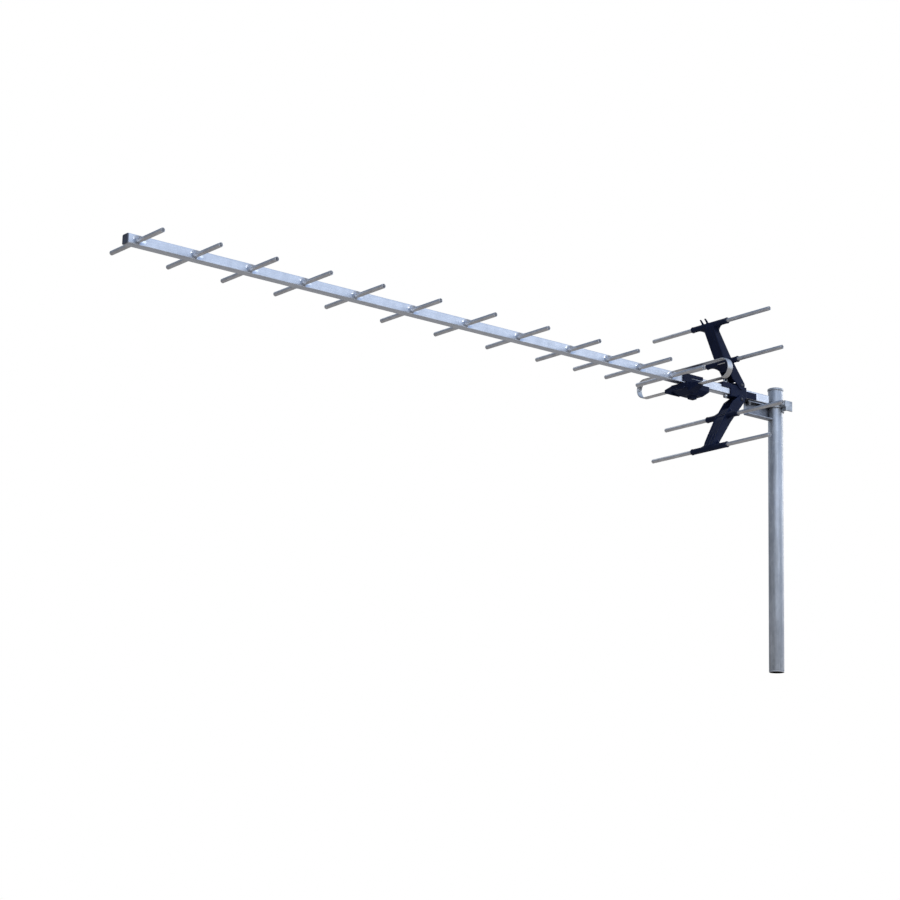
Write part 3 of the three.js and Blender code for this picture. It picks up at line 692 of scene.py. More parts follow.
# ---------------------------------------------------------------- dipole
def strap_path(half_span, rise, gap):
    """Loop in (y, z) from one side of the feed gap round to the other."""
    straight = half_span - rise
    low_steps, bend_steps, top_steps = 14, 24, 30
    path = [(gap + (straight - gap) * k / low_steps, -rise) for k in range(low_steps)]
    for k in range(bend_steps + 1):
        a = -math.pi / 2 + math.pi * k / bend_steps
        path.append((straight + rise * math.cos(a), rise * math.sin(a)))
    path += [(straight - 2 * straight * k / top_steps, rise) for k in range(1, top_steps)]
    for k in range(bend_steps + 1):
        a = math.pi / 2 + math.pi * k / bend_steps
        path.append((-straight + rise * math.cos(a), rise * math.sin(a)))
    path += [(-straight + (straight - gap) * k / low_steps, -rise) for k in range(1, low_steps + 1)]
    return [Vector(p) for p in path]


def strap_section(half_w, half_t):
    """Flat strap's section (across, through) with rolled edges."""
    edge_r = half_t * 0.8
    steps = 3
    section = []
    for cx, ct, quarter in ((1, 1, 0), (-1, 1, 1), (-1, -1, 2), (1, -1, 3)):
        for k in range(steps + 1):
            a = math.pi / 2 * (quarter + k / steps)
            section.append((cx * (half_w - edge_r) + edge_r * math.cos(a),
                            ct * (half_t - edge_r) + edge_r * math.sin(a)))
    return section


def build_dipole():
    """Flat strap bent into the folded loop, open at the feed gap."""
    middle = centre("dipole_strap")
    extent = size("dipole_strap")
    thick = 2 * MM
    feed_gap = 12 * MM
    path = strap_path(extent.y / 2 - thick / 2, extent.z / 2 - thick / 2, feed_gap)
    section = strap_section(extent.x / 2, thick / 2)
    rings = []
    for i, p in enumerate(path):
        a = path[max(i - 1, 0)]
        b = path[min(i + 1, len(path) - 1)]
        tangent = (b - a).normalized()
        normal = Vector((tangent.y, -tangent.x))
        ring = []
        for x, t in section:
            q = p + normal * t
            ring.append(Vector((middle.x + x, middle.y + q.x, middle.z + q.y)))
        rings.append(ring)
    strap = make_object("dipole_strap_form", *skin_rings(rings))
    finish_shell(strap, "dipole_strap", "strap", 50)


# ---------------------------------------------------------------- mast
def build_mast_tube():
    """Galvanised tube with slightly rounded cut ends."""
    low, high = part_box("mast_tube")
    profile = tube_profile(MAST_R, MAST_R - MAST_WALL, low[2], high[2], 0.4 * MM)
    tube = turned("mast_tube_form", "z", MAST_FOOT, profile, MAST_FACETS, loop=True)
    finish_shell(tube, "mast_tube", "tube", 50)


def build_mast_cap():
    """Cap with a plug inside the tube, a short skirt round it and a low dome."""
    base, top = (corner[2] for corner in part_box("mast_cap"))
    tube_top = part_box("mast_tube")[1][2]
    rim = size("mast_cap").x / 2
    seat = tube_top + GAP
    skirt = tube_top - 3 * MM
    skirt_in = MAST_R + GAP
    profile = [(PLUG_R, base), (PLUG_R, seat), (skirt_in, seat), (skirt_in, skirt),
               (rim - 0.2 * MM, skirt), (rim, skirt + 0.4 * MM)]
    shoulder = tube_top + 0.8 * MM
    dome = top - shoulder
    steps = 12
    for k in range(steps + 1):
        a = math.pi / 2 * k / steps
        profile.append((rim * max(math.cos(a) ** 0.8, 0.01), shoulder + dome * math.sin(a)))
    cap = turned("mast_cap_form", "z", MAST_FOOT, profile, MAST_FACETS)
    finish_shell(cap, "mast_cap", "tube", 45)


def build_foot_plug():
    """Plug in the mast's foot: a full-width base under a narrower stem."""
    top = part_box("mast_foot_plug")[1][2]
    base = 3 * MM
    profile = [(PLUG_R * 0.55, 0), (MAST_R - 0.8 * MM, 0), (MAST_R, 0.8 * MM), (MAST_R, base - 0.4 * MM),
               (MAST_R - 0.4 * MM, base), (PLUG_R, base), (PLUG_R, top - MM), (PLUG_R - MM, top)]
    foot = turned("mast_foot_plug_form", "z", MAST_FOOT, profile, MAST_FACETS)
    finish_shell(foot, "mast_foot_plug", "grey_plastic", 40)


# ---------------------------------------------------------------- fasteners
def hexagon(across_flats):
    """Radius of a hexagon as a function of angle."""
    def radius(a):
        return across_flats / 2 / math.cos((a + math.pi / 6) % (math.pi / 3) - math.pi / 6)
    return radius


def chamfered_hexagon(across_flats):
    """A ring maker for a hexagon's chamfered end, and the chamfer's inner radius."""
    full = hexagon(across_flats)
    limit = across_flats / 2 * 0.97
    slope = 0.5

    def ring(axis, at, inward_sign):
        along, side, up = AXES[axis]
        points = []
        for k in range(HEX_FACETS):
            a = math.tau * k / HEX_FACETS
            back = max(full(a) - limit, 0) * slope
            points.append(at + side * (full(a) * math.cos(a)) + up * (full(a) * math.sin(a))
                          + along * (inward_sign * back))
        return points
    return ring, limit


def thread_rings(axis, at, r, pitch, t0, t1):
    """A helical thread as many rings whose radius follows the helix."""
    along = AXES[axis][0]
    rings_per_turn = 6
    depth = 0.22 * pitch
    count = max(int((t1 - t0) / pitch * rings_per_turn), 2)
    rings = []
    for i in range(count + 1):
        t = t0 + (t1 - t0) * i / count

        def radius(a, t=t):
            phase = (t / pitch - a / math.tau) % 1
            return r - depth * 2 * abs(phase - 0.5)
        rings.append(circle(axis, at + along * t, radius, 24))
    return rings


def build_bolt(node, axis, across_flats, head, r, pitch):
    """Hexagon-headed bolt, its head at the low end of the axis."""
    middle = centre(node)
    half = size(node)["xyz".index(axis)] / 2
    along = AXES[axis][0]
    crown, limit = chamfered_hexagon(across_flats)
    tip = middle - along * half
    seat = tip + along * head
    rings = [
        circle(axis, tip, limit * 0.9, HEX_FACETS), circle(axis, tip, limit, HEX_FACETS),
        crown(axis, tip, 1), circle(axis, seat, hexagon(across_flats), HEX_FACETS),
    ]
    thread = thread_rings(axis, middle, r, pitch, head - half - 0.2 * MM, half)
    bolt = merge_solids(node + "_form", [skin_rings(rings), skin_rings(thread)])
    finish_shell(bolt, node, "steel", 35)


def build_nut(node, axis, across_flats, bore):
    """Hexagon nut chamfered at both ends, with a countersunk bore."""
    middle = centre(node)
    half = size(node)["xyz".index(axis)] / 2
    along = AXES[axis][0]
    crown, limit = chamfered_hexagon(across_flats)
    low = middle - along * half
    high = middle + along * half
    sink = 0.5 * MM
    rings = [
        circle(axis, low + along * sink, bore, HEX_FACETS), circle(axis, low, bore + sink, HEX_FACETS),
        circle(axis, low, limit, HEX_FACETS), crown(axis, low, 1), crown(axis, high, -1),
        circle(axis, high, limit, HEX_FACETS), circle(axis, high, bore + sink, HEX_FACETS),
        circle(axis, high - along * sink, bore, HEX_FACETS),
    ]
    nut = make_object(node + "_form", *skin_rings(rings, loop=True))
    finish_shell(nut, node, "steel", 35)


def build_washer(node, axis, bore):
    """Flat washer with slightly rounded edges."""
    index = "xyz".index(axis)
    half = size(node)[index] / 2
    outer = size(node)[(index + 1) % 3] / 2
    profile = tube_profile(outer, bore, -half, half, 0.25 * MM)
    washer = turned(node + "_form", axis, centre(node), profile, 40, loop=True)
    finish_shell(washer, node, "steel", 40)


def build_round_bolt(node):
    """Round-headed boom bolt with a threaded shank."""
    low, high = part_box(node)
    middle = centre(node)
    head_r = size(node).x / 2
    head = 2.6 * MM
    edge = 0.3 * MM
    steps = 7
    at = Vector((middle.x, middle.y, high[2] - head))
    rings = [circle("z", at, head_r - edge, 40), circle("z", at + Vector((0, 0, edge)), head_r, 40)]
    for k in range(1, steps + 1):
        a = math.pi / 2 * k / (steps + 0.4)
        rise = Vector((0, 0, edge + (head - edge) * math.sin(a)))
        rings.append(circle("z", at + rise, head_r * math.cos(a), 40))
    foot = Vector((middle.x, middle.y, 0))
    thread = thread_rings("z", foot, M5_R, M5_PITCH, low[2], at.z + 0.4 * MM)
    bolt = merge_solids(node + "_form", [skin_rings(rings), skin_rings(thread)])
    finish_shell(bolt, node, "steel", 35)


def build_pin(node):
    """Riveted pin: domed heads on a plain shank."""
    half = size(node).y / 2
    head_r = size(node).x / 2
    shank_r = 2.5 * MM
    head = 1.5 * MM
    steps = 5
    profile = []
    for k in range(steps + 1):
        a = math.pi / 2 * k / steps
        profile.append((max(head_r * math.sin(a), 0.2 * MM), -half + head * 0.8 * (1 - math.cos(a))))
    profile += [(head_r, -half + head), (shank_r, -half + head)]
    profile += [(r, -t) for r, t in reversed(profile)]
    pin = turned(node + "_form", "y", centre(node), profile, 40)
    finish_shell(pin, node, "pin", 40)


# ---------------------------------------------------------------- mast bracket and clamp
def build_bracket():
    """Lipped channel open to the near side, hollowed to sit against clamp and mast."""
    low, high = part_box("mast_bracket")
    thick = 2.2 * MM
    lip = 4.5 * MM
    rear_end = -8 * MM
    half = high[1] - thick / 2
    top = high[2] - thick / 2
    base = low[2] + thick / 2
    corners = [Vector((-half, base + lip - thick / 2)), Vector((-half, base)), Vector((half, base)),
               Vector((half, top)), Vector((-half, top)), Vector((-half, top - lip + thick / 2))]
    bracket = sheet("mast_bracket_form", fillet_path(corners, 2.0 * MM), thick, low[0], rear_end,
                    lambda a, b, w: Vector((w, a, b)))
    outward(bracket)
    clear = 0.1
    band_r = MAST_R + 3.2 * MM
    band_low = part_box("clamp_front_half")[0][2] - GAP
    for r, z0 in ((MAST_R + GAP, base - clear), (band_r, band_low)):
        cutter = make_object("notch", *bar_solid("z", MAST_FOOT, r, z0, top + clear, 72))
        subtract(bracket, cutter)
    shade(bracket, 30)
    finish_piece(bracket, "mast_bracket", "bracket")


def clamp_path(side, flange_x, with_lips):
    """Half ring round the mast, bent out into bolt flanges."""
    reach = size("clamp_front_half").y / 2
    lip_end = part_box("clamp_rear_saddle")[1][0]
    end_y = reach - CLAMP_SHEET / 2 if with_lips else reach
    steps = 24
    points = [Vector((flange_x, end_y)), Vector((flange_x, CLAMP_R))]
    if with_lips:
        points.insert(0, Vector((lip_end, end_y)))
    for k in range(1, steps):
        a = math.pi / 2 - math.pi * k / steps
        if CLAMP_R * math.cos(a) > abs(flange_x) + CLAMP_SHEET:
            points.append(Vector((side * CLAMP_R * math.cos(a), CLAMP_R * math.sin(a))))
    points += [Vector((p.x, -p.y)) for p in reversed(points[:3 if with_lips else 2])]
    return fillet_path(points, 2.6 * MM)


def clamp_bead(p, share):
    """Outward bulge of the stiffening bead, pressed only into the round part."""
    height = 1.1 * MM
    across = math.exp(-(((share - 0.5) / 0.16) ** 2))
    on_ring = min(max((abs(p.x) - 6 * MM) / (4 * MM), 0), 1)
    if p.length > CLAMP_R * 1.15:
        on_ring = 0
    return p.normalized() * (height * across * on_ring)


def build_clamp():
    """The two clamp halves, each with a pressed stiffening bead."""
    for node, side, lips in (("clamp_front_half", -1, False), ("clamp_rear_saddle", 1, True)):
        low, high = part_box(node)
        near = min(abs(low[0]), abs(high[0]))
        path = clamp_path(side, side * (near + CLAMP_SHEET / 2), lips)
        half = sheet(node + "_form", path, CLAMP_SHEET, low[2], high[2],
                     lambda a, b, w: Vector((a, b, w)), clamp_bead)
        finish_shell(half, node, "steel", 35)


def build_fasteners():
    """M6 on the clamp, M5 on the boom and hub, and the arms' pins."""
    for side in ("near", "far"):
        build_bolt(f"clamp_bolt_{side}", "x", M6_FLATS, 4 * MM, 3 * MM, 1 * MM)
        build_washer(f"clamp_washer_{side}", "x", 3.3 * MM)
        build_nut(f"clamp_nut_{side}", "x", M6_FLATS, 3.15 * MM)
    for end in ("front", "rear"):
        build_round_bolt(f"boom_bolt_{end}")
        build_nut(f"boom_nut_{end}", "z", M5_FLATS, M5_BORE)
    build_nut("hub_nut", "z", M5_FLATS, M5_BORE)
    build_pin("arm_pin_upper")
    build_pin("arm_pin_lower")


# ---------------------------------------------------------------- reflector arms
def xz_place(a, b, w):
    """A point of a side view, w to the far side."""
    return Vector((a, w, b))


class ArmFrame:
    """Coordinates along an arm: s from the pin to the tip rod, w towards the rear."""

    def __init__(self, side):
        self.pin = centre(f"arm_pin_{side}")
        self.tip = centre(f"reflector_rod_{side}_tip")
        self.mid = centre(f"reflector_rod_{side}_mid")
        span = self.tip - self.pin
        self.length = span.length
        self.along = span.normalized()
        self.rear = Vector((abs(self.along.z), 0, -self.along.x * math.copysign(1, self.along.z)))

    def at(self, s, w):
        return self.pin + self.along * s + self.rear * w

    def outline(self, pairs):
        points = [self.at(s, w) for s, w in pairs]
        return [(p.x, p.z) for p in points]


def arm_outline(length):
    """One cheek in (s, w): a round root, then a blade narrowing to the tip."""
    root = 11 * MM
    steps = 14
    points = []
    for k in range(steps + 1):
        a = math.radians(75 + 210 * k / steps)
        points.append((root * math.cos(a), root * math.sin(a)))
    tip = [(1.0, -6.9), (1.025, 0.5), (1.0, 5.8)]
    rear = [(0.88, 5.2), (0.45, 5.1)]
    return points + [(length * s, w * MM) for s, w in ARM_FRONT_EDGE + tip + rear]


def behind_front_edge(arm, near, far, start=ARM_WEB_START, end=1.0):
    """Band between the front edge moved back by `near` and by `far`, in (x, z)."""
    shares = [start] + [s for s, _ in ARM_FRONT_EDGE if start < s < end] + [end]

    def edge(share, back):
        for (s0, w0), (s1, w1) in zip(ARM_FRONT_EDGE, ARM_FRONT_EDGE[1:]):
            if share <= s1 or s1 == ARM_FRONT_EDGE[-1][0]:
                w = w0 + (w1 - w0) * (share - s0) / (s1 - s0)
                return (share * arm.length, w * MM + back)
    return arm.outline([edge(s, near) for s in shares] + [edge(s, far) for s in reversed(shares)])


def gusset(arm, at, reach, drop, side, edge):
    """Curved web from the blade out to a sleeve, as a closed solid."""
    skin = 5.8 * MM
    half = 3.1 * MM
    bend_across = reach * 0.32
    bend_down = 6.8 * MM
    steps = 8
    outline = [(0.0, 0.0), (reach, 0.0), (reach, skin)]
    for k in range(1, steps + 1):
        t = k / steps
        across = (1 - t) ** 2 * reach + 2 * t * (1 - t) * bend_across
        down = (1 - t) ** 2 * skin + 2 * t * (1 - t) * bend_down + t * t * drop
        outline.append((across, down))

    def place(a, b, w):
        return at - arm.along * b + arm.rear * w + Vector((0, side * (edge - MM + a), 0))
    return prism(outline, place, -half, half)


def root_web(arm, reach):
    """Nearer the pin the web steps back to the rear edge, by a curved wall."""
    radius = 47.5 * MM
    wall = 2.5 * MM
    start, end = 8.8 * MM, (radius + wall) * 0.99
    start_w, end_w = 4.8 * MM, 5.1 * MM
    back = [(start, start_w), (end, end_w), (end, end_w - wall), (start + MM, start_w - wall)]
    front_angle = math.radians(-22.2)
    rear_angle = math.radians(6.1)
    steps = 8
    curve = []
    for r, sweep in ((radius, range(steps + 1)), (radius + wall, range(steps, -1, -1))):
        for k in sweep:
            a = front_angle + (rear_angle - front_angle) * k / steps
            curve.append((r * math.cos(a), r * math.sin(a)))
    return [prism(arm.outline(back), xz_place, -reach, reach),
            prism(arm.outline(curve), xz_place, -reach, reach)]


def clip_finger(arm, y):
    """Clip finger leaning forwards from the tip sleeve."""
    base = arm.tip.z + 3 * MM
    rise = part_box("reflector_arm_upper")[1][2] - base
    # (share of the height, then in millimetres: lean, half length, half width)
    levels = [(0, 0, 2.8, 2.4), (0.3, 2.0, 2.6, 2.2), (0.6, 5.4, 2.3, 2.0),
              (0.88, 8.6, 2.2, 2.0), (1.0, 9.4, 1.7, 1.5)]
    rings = []
    for share, lean, half_x, half_y in levels:
        x = arm.tip.x - lean * MM
        rings.append([Vector((x + i * half_x * MM, y + j * half_y * MM, base + rise * share))
                      for i, j in ((-1, -1), (1, -1), (1, 1), (-1, 1))])
    return skin_rings(rings)


def sleeve_solids(arm, at, half, reach, drop, edge):
    """Round sleeve with a collar at each end, and its gussets."""
    radius = 6.75 * MM
    collar = 3 * MM
    solids = [bar_solid("y", at, radius, -half, half)]
    for end in (-1, 1):
        lip = sorted((end * half, end * (half - collar)))
        solids.append(bar_solid("y", at, radius + 0.6 * MM, *lip))
        solids.append(gusset(arm, at, reach, drop, end, edge))
    return solids


def arm_front(arm, reach):
    """The closed front of the channel: web, two ribs behind it, two on its face."""
    solids = [prism(behind_front_edge(arm, ARM_RIM, ARM_RIM + ARM_WEB), xz_place, -reach, reach)]
    rib_depth = 4 * MM
    for y in (-5 * MM, 5 * MM):
        rib = behind_front_edge(arm, ARM_RIM + ARM_WEB / 2, ARM_RIM + ARM_WEB + rib_depth)
        solids.append(prism(rib, xz_place, y - 0.8 * MM, y + 0.8 * MM))
        head_rib = behind_front_edge(arm, 0, ARM_RIM + MM, ARM_HEAD_START)
        solids.append(prism(head_rib, xz_place, y - 0.7 * MM, y + 0.7 * MM))
    return solids


def arm_face_cuts(arm, inner):
    """Clears the front between the cheeks, less deep across the middle sleeve."""
    to_mid = (arm.mid - arm.pin).dot(arm.along)
    near_mid, past_mid = ((to_mid + d) / arm.length for d in (-8 * MM, 8 * MM))
    cuts = []
    for start, end, back in ((ARM_WEB_START, near_mid, ARM_RIM), (near_mid, past_mid, -0.4 * MM),
                             (past_mid, ARM_HEAD_START - 0.01, ARM_RIM)):
        face = behind_front_edge(arm, -30 * MM, back, start, end)
        cuts.append(prism(face, xz_place, -inner, inner))
    return cuts


def build_arm(side):
    """Channel with a closed, rimmed front, a round root and two rod sleeves."""
    arm = ArmFrame(side)
    node = f"reflector_arm_{side}"
    inner = size("reflector_hub").y / 2 + GAP
    outer = inner + 2.5 * MM
    tip_half = size(node).y / 2
    mid_half = tip_half * 50 / 57
    reach = inner + MM
    blade = arm.outline(arm_outline(arm.length))
    solids = [prism(blade, xz_place, inner, outer), prism(blade, xz_place, -outer, -inner)]
    solids += arm_front(arm, reach)
    solids += sleeve_solids(arm, arm.tip, tip_half, 27 * MM, 23 * MM, outer)
    solids += sleeve_solids(arm, arm.mid, mid_half, 27 * MM, 22 * MM, outer)
    solids += root_web(arm, reach)
    if side == "upper":
        solids += [clip_finger(arm, y) for y in (21.5 * MM, 6.7 * MM)]
    cuts = [bar_solid("y", at, ROD_R + GAP, -tip_half * 1.1, tip_half * 1.1)
            for at in (arm.tip, arm.mid)]
    cuts.append(bar_solid("y", arm.pin, PIN_BORE, -outer * 1.2, outer * 1.2))
    cuts += arm_face_cuts(arm, inner)
    piece = moulded(node + "_form", solids, cuts, 0.7 * MM)
    finish_piece(piece, node, "plastic")


# ---------------------------------------------------------------- hub
def build_hub():
    """Moulded block round the boom, with pin bosses, a tongue, a tail and a catch lug."""
    low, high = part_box("reflector_hub")
    half = high[1]
    pins = [centre("arm_pin_upper"), centre("arm_pin_lower")]
    z = BOOM.z
    hole = BOOM_HALF + GAP
    skin = hole + 2.3 * MM
    front, rear = pins[0].x - 32 * MM, pins[0].x + 19 * MM
    overlap = 2 * MM
    rise = 14 * MM
    tongue_top = z + 16 * MM
    lug = 6 * MM
    solids = [
        box_solid((front, -half, z - rise), (rear, half, z + rise)),
        box_solid((low[0], -skin, z + 4 * MM), (front + overlap, skin, tongue_top)),
        box_solid((rear - overlap, -skin, z - BOOM_HALF + 0.1 * MM), (high[0], skin, z + 6 * MM)),
        box_solid((rear - overlap, -lug, z + hole), (rear + 5 * MM, lug, tongue_top)),
    ]
    cuts = [box_solid((low[0] - 9 * MM, -hole, z - hole), (high[0] + 9 * MM, hole, z + hole))]
    for pin in pins:
        solids.append(bar_solid("y", pin, 8 * MM, -half, half))
        cuts.append(bar_solid("y", pin, PIN_BORE, -half * 1.5, half * 1.5))
    screw = Vector((centre("hub_wing_screw").x, 0, 0))
    cuts.append(bar_solid("z", screw, 2.8 * MM, z, tongue_top + 5 * MM))
    hub = moulded("reflector_hub_form", solids, cuts, 0.6 * MM)
    finish_piece(hub, "reflector_hub", "plastic")


def build_wing_screw():
    """Screw with two cast wings on a stepped round head."""
    at = Vector((centre("hub_wing_screw").x, 0, 0))
    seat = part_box("hub_nut")[1][2] + 2 * BOOM_HALF + 6.6 * MM
    # One wing, in millimetres outwards and up from the seat.
    wing = [(1.0, 1.0), (4.2, 1.2), (7.0, 5.5), (6.8, 9.0), (5.2, 11.4), (3.4, 10.6), (2.8, 7.6), (1.0, 5.4)]
    solids = []
    for side in (-1, 1):
        outline = [(at.x + side * a * MM, seat + b * MM) for a, b in wing]
        solids.append(prism(outline, xz_place, -1.2 * MM, 1.2 * MM))
    solids.append(bar_solid("z", at, 4.4 * MM, seat + 0.2 * MM, seat + 3.6 * MM))
    solids.append(bar_solid("z", at, 3.4 * MM, seat + 3.0 * MM, seat + 5.6 * MM))
    head = moulded("hub_wing_screw_form", solids, [], 0.28 * MM, 0.5, 4)
    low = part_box("hub_wing_screw")[0]
    rings = thread_rings("z", at, M5_R, M5_PITCH, low[2], seat + 1.0 * MM)
    thread = make_object("thread", *skin_rings(rings))
    outward(thread)
    shade(thread, 35)
    with bpy.context.temp_override(active_object=head, selected_editable_objects=[head, thread],
                                   selected_objects=[head, thread]):
        bpy.ops.object.join()
    finish_piece(head, "hub_wing_screw", "steel")


# ---------------------------------------------------------------- feed box
LID_PIN = centre("lid_hinge_pin")
STRAP_X = centre("dipole_strap").x
STRAP_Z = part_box("dipole_strap")[0][2] + 1 * MM
BOX_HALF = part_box("feed_box_lid")[1][1] + GAP
BOX_FRONT = LID_PIN.x + 2.3 * MM
BOX_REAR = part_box("feed_box_body")[1][0]
BOX_TOP = BOOM.z - BOOM_HALF - 1.5 * MM
BOX_SPLIT = LID_PIN.z
CHEEK_IN = BOOM_HALF + GAP
CHEEK_OUT = CHEEK_IN + 2.7 * MM
KNUCKLE_R = 2.5 * MM


def saddle_solids(side):
    """Cheek up one side of the boom, with a hook over its top."""
    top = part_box("feed_box_body")[1][2]
    front = BOX_FRONT + 2 * MM
    rear = BOX_REAR - 7 * MM
    notch_x = BOX_FRONT + 14 * MM
    notch_z = BOX_TOP + 4.5 * MM
    foot = BOX_TOP - MM
    cheek_top = top - 0.6 * MM
    cheek = [(notch_x, foot), (notch_x, notch_z), (front, notch_z), (front, cheek_top), (rear, cheek_top),
             (rear, foot)]
    hook = sorted((side * (BOOM_HALF - 2.5 * MM), side * CHEEK_OUT))
    return [prism(cheek, xz_place, *sorted((side * CHEEK_IN, side * CHEEK_OUT))),
            box_solid((front, hook[0], BOOM.z + BOOM_HALF + GAP), (rear, hook[1], top))]


def wing_solids(side):
    """Neck and tapering wing round one run of the strap, and a round boss beside them."""
    neck = sorted((side * (BOX_HALF - MM), side * (BOX_HALF + MM)))
    neck_x = 11 * MM
    root = (BOX_HALF + GAP, 13 * MM, BOX_SPLIT - 9.2 * MM, BOX_TOP)
    end = (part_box("feed_box_body")[1][1], 9.5 * MM, STRAP_Z - 4 * MM, STRAP_Z + 4 * MM)
    rings = []
    for y, half_x, z0, z1 in (root, end):
        rings.append([Vector((STRAP_X + sign * half_x, side * y, z))
                      for sign, z in ((-1, z0), (1, z0), (1, z1), (-1, z1))])
    boss = Vector((STRAP_X, side * 17 * MM, 0))
    return [box_solid((STRAP_X - neck_x, neck[0], BOX_SPLIT), (STRAP_X + neck_x, neck[1], BOX_TOP)),
            skin_rings(rings),
            bar_solid("z", boss, 4.5 * MM, STRAP_Z + 3.3 * MM, BOX_TOP - MM)]


def ear_solids(side):
    """One of the box's two hinge knuckles, and the bridge to it."""
    ends = sorted((side * 10 * MM, side * 20 * MM))
    return [bar_solid("y", LID_PIN, KNUCKLE_R, *ends),
            box_solid((LID_PIN.x, ends[0], BOX_SPLIT + 0.2 * MM),
                      (BOX_FRONT + MM, ends[1], BOX_SPLIT + 2.4 * MM))]


def build_feed_box_body():
    """Box open below, straddling the boom, with a wing round each run of the strap."""
    wall = 2 * MM
    solids = [box_solid((BOX_FRONT, -BOX_HALF, BOX_SPLIT), (BOX_REAR, BOX_HALF, BOX_TOP))]
    cuts = [box_solid((BOX_FRONT + wall, -BOX_HALF + wall, BOX_SPLIT - 9 * MM),
                      (BOX_REAR - wall, BOX_HALF - wall, BOX_TOP - wall))]
    for side in (-1, 1):
        solids += saddle_solids(side) + wing_solids(side) + ear_solids(side)
        slot = sorted((side * (CHEEK_IN - 2 * MM), side * (CHEEK_OUT + 2 * MM)))
        cuts.append(box_solid((BOX_FRONT + 28 * MM, slot[0], BOOM.z + 2.2 * MM),
                              (BOX_REAR - 1 * MM, slot[1], BOOM.z + 4.4 * MM)))
    passage_x, passage_y, passage_z = 7.8 * MM, 90 * MM, 1.3 * MM
    cuts.append(box_solid((STRAP_X - passage_x, -passage_y, STRAP_Z - passage_z),
                          (STRAP_X + passage_x, passage_y, STRAP_Z + passage_z)))
    cuts.append(bar_solid("y", LID_PIN, 2.9 * MM, -10 * MM, 10 * MM))
    body = moulded("feed_box_body_form", solids, cuts, 0.55 * MM, 0.35, 2)
    finish_piece(body, "feed_box_body", "plastic")


def build_feed_box_lid():
    """Tapered tray with the cable outlet's spout, hung on the hinge pin."""
    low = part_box("feed_box_lid")[0][2]
    rim = BOX_SPLIT - GAP
    spout = centre("coax_socket").x
    base = low + 6 * MM
    knuckle = 9.7 * MM
    solids = [
        taper_solid((BOX_FRONT + 0.5 * MM, BOX_REAR - 0.5 * MM, BOX_HALF - GAP, rim),
                    (BOX_FRONT + 20 * MM, BOX_REAR - 12 * MM, BOX_HALF - 9 * MM, base)),
        taper_solid((spout - 9 * MM, spout + 9 * MM, 8 * MM, base + MM),
                    (spout - 8 * MM, spout + 8 * MM, 6.5 * MM, low)),
        bar_solid("y", LID_PIN, KNUCKLE_R, -knuckle, knuckle),
        box_solid((LID_PIN.x, -knuckle, rim - 2 * MM), (BOX_FRONT + 3 * MM, knuckle, rim)),
    ]
    cuts = [
        taper_solid((BOX_FRONT + 2.5 * MM, BOX_REAR - 2.5 * MM, BOX_HALF - 2.3 * MM, rim + MM),
                    (BOX_FRONT + 20.5 * MM, BOX_REAR - 13 * MM, BOX_HALF - 11 * MM, base + 2 * MM)),
        bar_solid("z", Vector((spout, 0, 0)), 4.5 * MM, low - 5 * MM, rim),
    ]
    lid = moulded("feed_box_lid_form", solids, cuts, 0.5 * MM, 0.35, 1)
    finish_piece(lid, "feed_box_lid", "plastic")


def build_small_parts():
    """Carried-over CAD pieces: softened edges and their own finish."""
    finishes = {
        "lid_hinge_pin": "steel", "balun_board": "board", "terminal_screw_near": "brass",
        "terminal_screw_far": "brass", "coax_socket": "brass", "feed_box_screw": "steel",
    }
    for node, finish in finishes.items():
        obj = frame["nodes"][node]
        obj.data.materials.clear()
        obj.data.materials.append(MATERIALS[finish])
        bevel(obj, 0.15 * MM, 40)


# ---------------------------------------------------------------- studio
def floor_paint():
    """Pale to the camera, deeper in what it reflects, and clear from below."""
    s = Shader("floor_paint")
    cloud = s.noise((3, 3, 3), 4.0)
    seen = s.ramp(cloud, [(0.3, (0.90, 0.83, 0.73)), (0.7, (0.93, 0.86, 0.76))])
    reflected = (0.68, 0.56, 0.43)
    rays = s.node("ShaderNodeLightPath")
    colour = s.mix(rays.outputs["Is Camera Ray"], reflected, seen)
    s.link(colour, s.bsdf.inputs["Base Color"])
    s.bsdf.inputs["Roughness"].default_value = 0.8
    glow = s.node("ShaderNodeMath", operation="MULTIPLY")
    glow.inputs[1].default_value = 0.32
    s.link(rays.outputs["Is Camera Ray"], glow.inputs[0])
    s.link(glow.outputs[0], s.bsdf.inputs["Emission Strength"])
    s.bsdf.inputs["Emission Color"].default_value = (1.0, 0.96, 0.90, 1)
    see_through = s.node("ShaderNodeBsdfTransparent")
    side = s.node("ShaderNodeNewGeometry")
    pick = s.node("ShaderNodeMixShader")
    s.link(side.outputs["Backfacing"], pick.inputs[0])
    s.link(s.bsdf.outputs[0], pick.inputs[1])
    s.link(see_through.outputs[0], pick.inputs[2])
    s.link(pick.outputs[0], s.tree.nodes["Material Output"].inputs["Surface"])
    return s.material


def build_floor():
    """Pale floor at the mast's foot, seen only from above."""
    half = 18.0
    z = -0.5 * MM
    corners = [(-half, -half, z), (half, -half, z), (half, half, z), (-half, half, z)]
    floor = make_object("floor", corners, [(0, 1, 2, 3)])
    floor.data.materials.append(floor_paint())


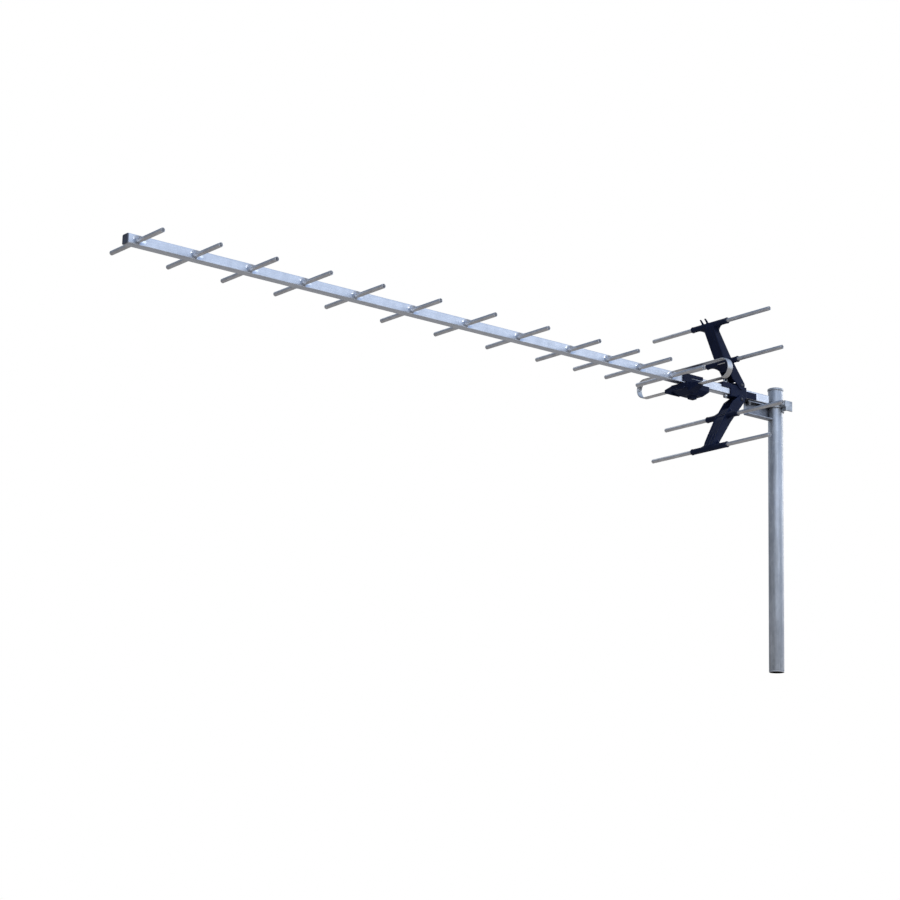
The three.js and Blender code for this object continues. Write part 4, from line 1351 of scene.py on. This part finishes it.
def build_world():
    """Near-white backdrop; the metal reflects a pale blue sky over warm ground."""
    world = bpy.data.worlds.new("studio")
    bpy.context.scene.world = world
    world.use_nodes = True
    w = Nodes(world.node_tree)
    w.tree.nodes.clear()
    where = w.node("ShaderNodeTexCoord").outputs["Generated"]
    split = w.node("ShaderNodeSeparateXYZ")
    w.link(where, split.inputs[0])
    facing = w.node("ShaderNodeVectorMath", operation="DOT_PRODUCT")
    facing.inputs[1].default_value = BRIGHT_SIDE.normalized()
    w.link(where, facing.inputs[0])
    strength = w.spread(facing.outputs["Value"], -0.4, 1.0, 0.42, 1.35)
    strength.node.interpolation_type = "SMOOTHSTEP"
    reflected = w.node("ShaderNodeBackground")
    w.link(w.ramp(w.spread(split.outputs["Z"], -1, 1, 0, 1), SKY), reflected.inputs["Color"])
    w.link(strength, reflected.inputs["Strength"])
    paper = w.node("ShaderNodeBackground")
    paper.inputs["Color"].default_value = (1, 1, 1, 1)
    pick = w.node("ShaderNodeMixShader")
    w.link(w.node("ShaderNodeLightPath").outputs["Is Camera Ray"], pick.inputs[0])
    w.link(reflected.outputs[0], pick.inputs[1])
    w.link(paper.outputs[0], pick.inputs[2])
    w.link(pick.outputs[0], w.node("ShaderNodeOutputWorld").inputs["Surface"])


def add_lamp(data, direction):
    """A lamp shining from `direction`."""
    lamp = bpy.data.objects.new(data.name, data)
    lamp.rotation_mode = "QUATERNION"
    lamp.rotation_quaternion = Vector(direction).to_track_quat("Z", "Y")
    bpy.context.scene.collection.objects.link(lamp)
    return lamp


def add_area(name, target, direction, power, colour):
    """A round soft light a few metres from the antenna."""
    data = bpy.data.lights.new(name, "AREA")
    data.shape = "DISK"
    data.size = 3.0
    data.energy = power
    data.color = colour
    lamp = add_lamp(data, direction)
    distance = 5.0
    lamp.location = target + Vector(direction).normalized() * distance


def add_sun(name, direction, energy, angle):
    """A warm light from far away, `angle` degrees wide."""
    data = bpy.data.lights.new(name, "SUN")
    data.energy = energy
    data.angle = math.radians(angle)
    data.color = (1.0, 0.97, 0.93)
    return add_lamp(data, direction)


def build_lights():
    """Soft key, fill and back lights, and a second sun that lights the boom alone,
    for the bright spots in its dimples."""
    target = Vector((BOOM.x * 0.5, 0, BOOM.z))
    add_sun("key", (0.94, -0.05, 0.33), 0.5, 24)
    glint = add_sun("glint", (0.90, -0.38, 0.20), 0.6, 12)
    lit = bpy.data.collections.new("glint_receivers")
    lit.objects.link(bpy.data.objects["boom_form"])
    glint.light_linking.receiver_collection = lit
    add_area("fill", target, (-0.38, -0.92, 0.42), 28, (0.90, 0.94, 1.0))
    add_area("back", target, (0.2, 1.0, 0.6), 18, (0.92, 0.95, 1.0))


def build_camera():
    """Low and in front of the antenna, looking up along the boom."""
    azimuth = math.radians(-37.96)
    elevation = math.radians(-13.35)
    roll = math.radians(1.65)
    focal_length = 92.42
    from_mast_and_boom = Vector((-3.8342, -3.6760, -1.3836))
    back = Vector((math.sin(azimuth) * math.cos(elevation), -math.cos(azimuth) * math.cos(elevation),
                   math.sin(elevation)))
    level = Vector((0, 0, 1)).cross(back).normalized()
    plumb = back.cross(level)
    right = level * math.cos(roll) + plumb * math.sin(roll)
    up = back.cross(right)
    data = bpy.data.cameras.new("camera")
    data.lens = focal_length
    data.sensor_width = 36
    data.clip_start = 0.05
    data.clip_end = 60
    camera = bpy.data.objects.new("camera", data)
    turn = Matrix((right, up, back)).transposed()
    camera.matrix_world = Matrix.Translation(Vector((0, 0, BOOM.z)) + from_mast_and_boom) @ turn.to_4x4()
    bpy.context.scene.collection.objects.link(camera)
    bpy.context.scene.camera = camera


def main():
    for node in DIRECTORS + REFLECTOR_RODS:
        build_rod(node)
    build_boom()
    build_boom_cap()
    build_dipole()
    build_mast_tube()
    build_mast_cap()
    build_foot_plug()
    build_bracket()
    build_clamp()
    build_fasteners()
    build_arm("upper")
    build_arm("lower")
    build_hub()
    build_wing_screw()
    build_feed_box_body()
    build_feed_box_lid()
    build_small_parts()
    build_floor()
    build_world()
    build_lights()
    build_camera()
    bpy.context.scene.view_settings.view_transform = "Standard"


main()
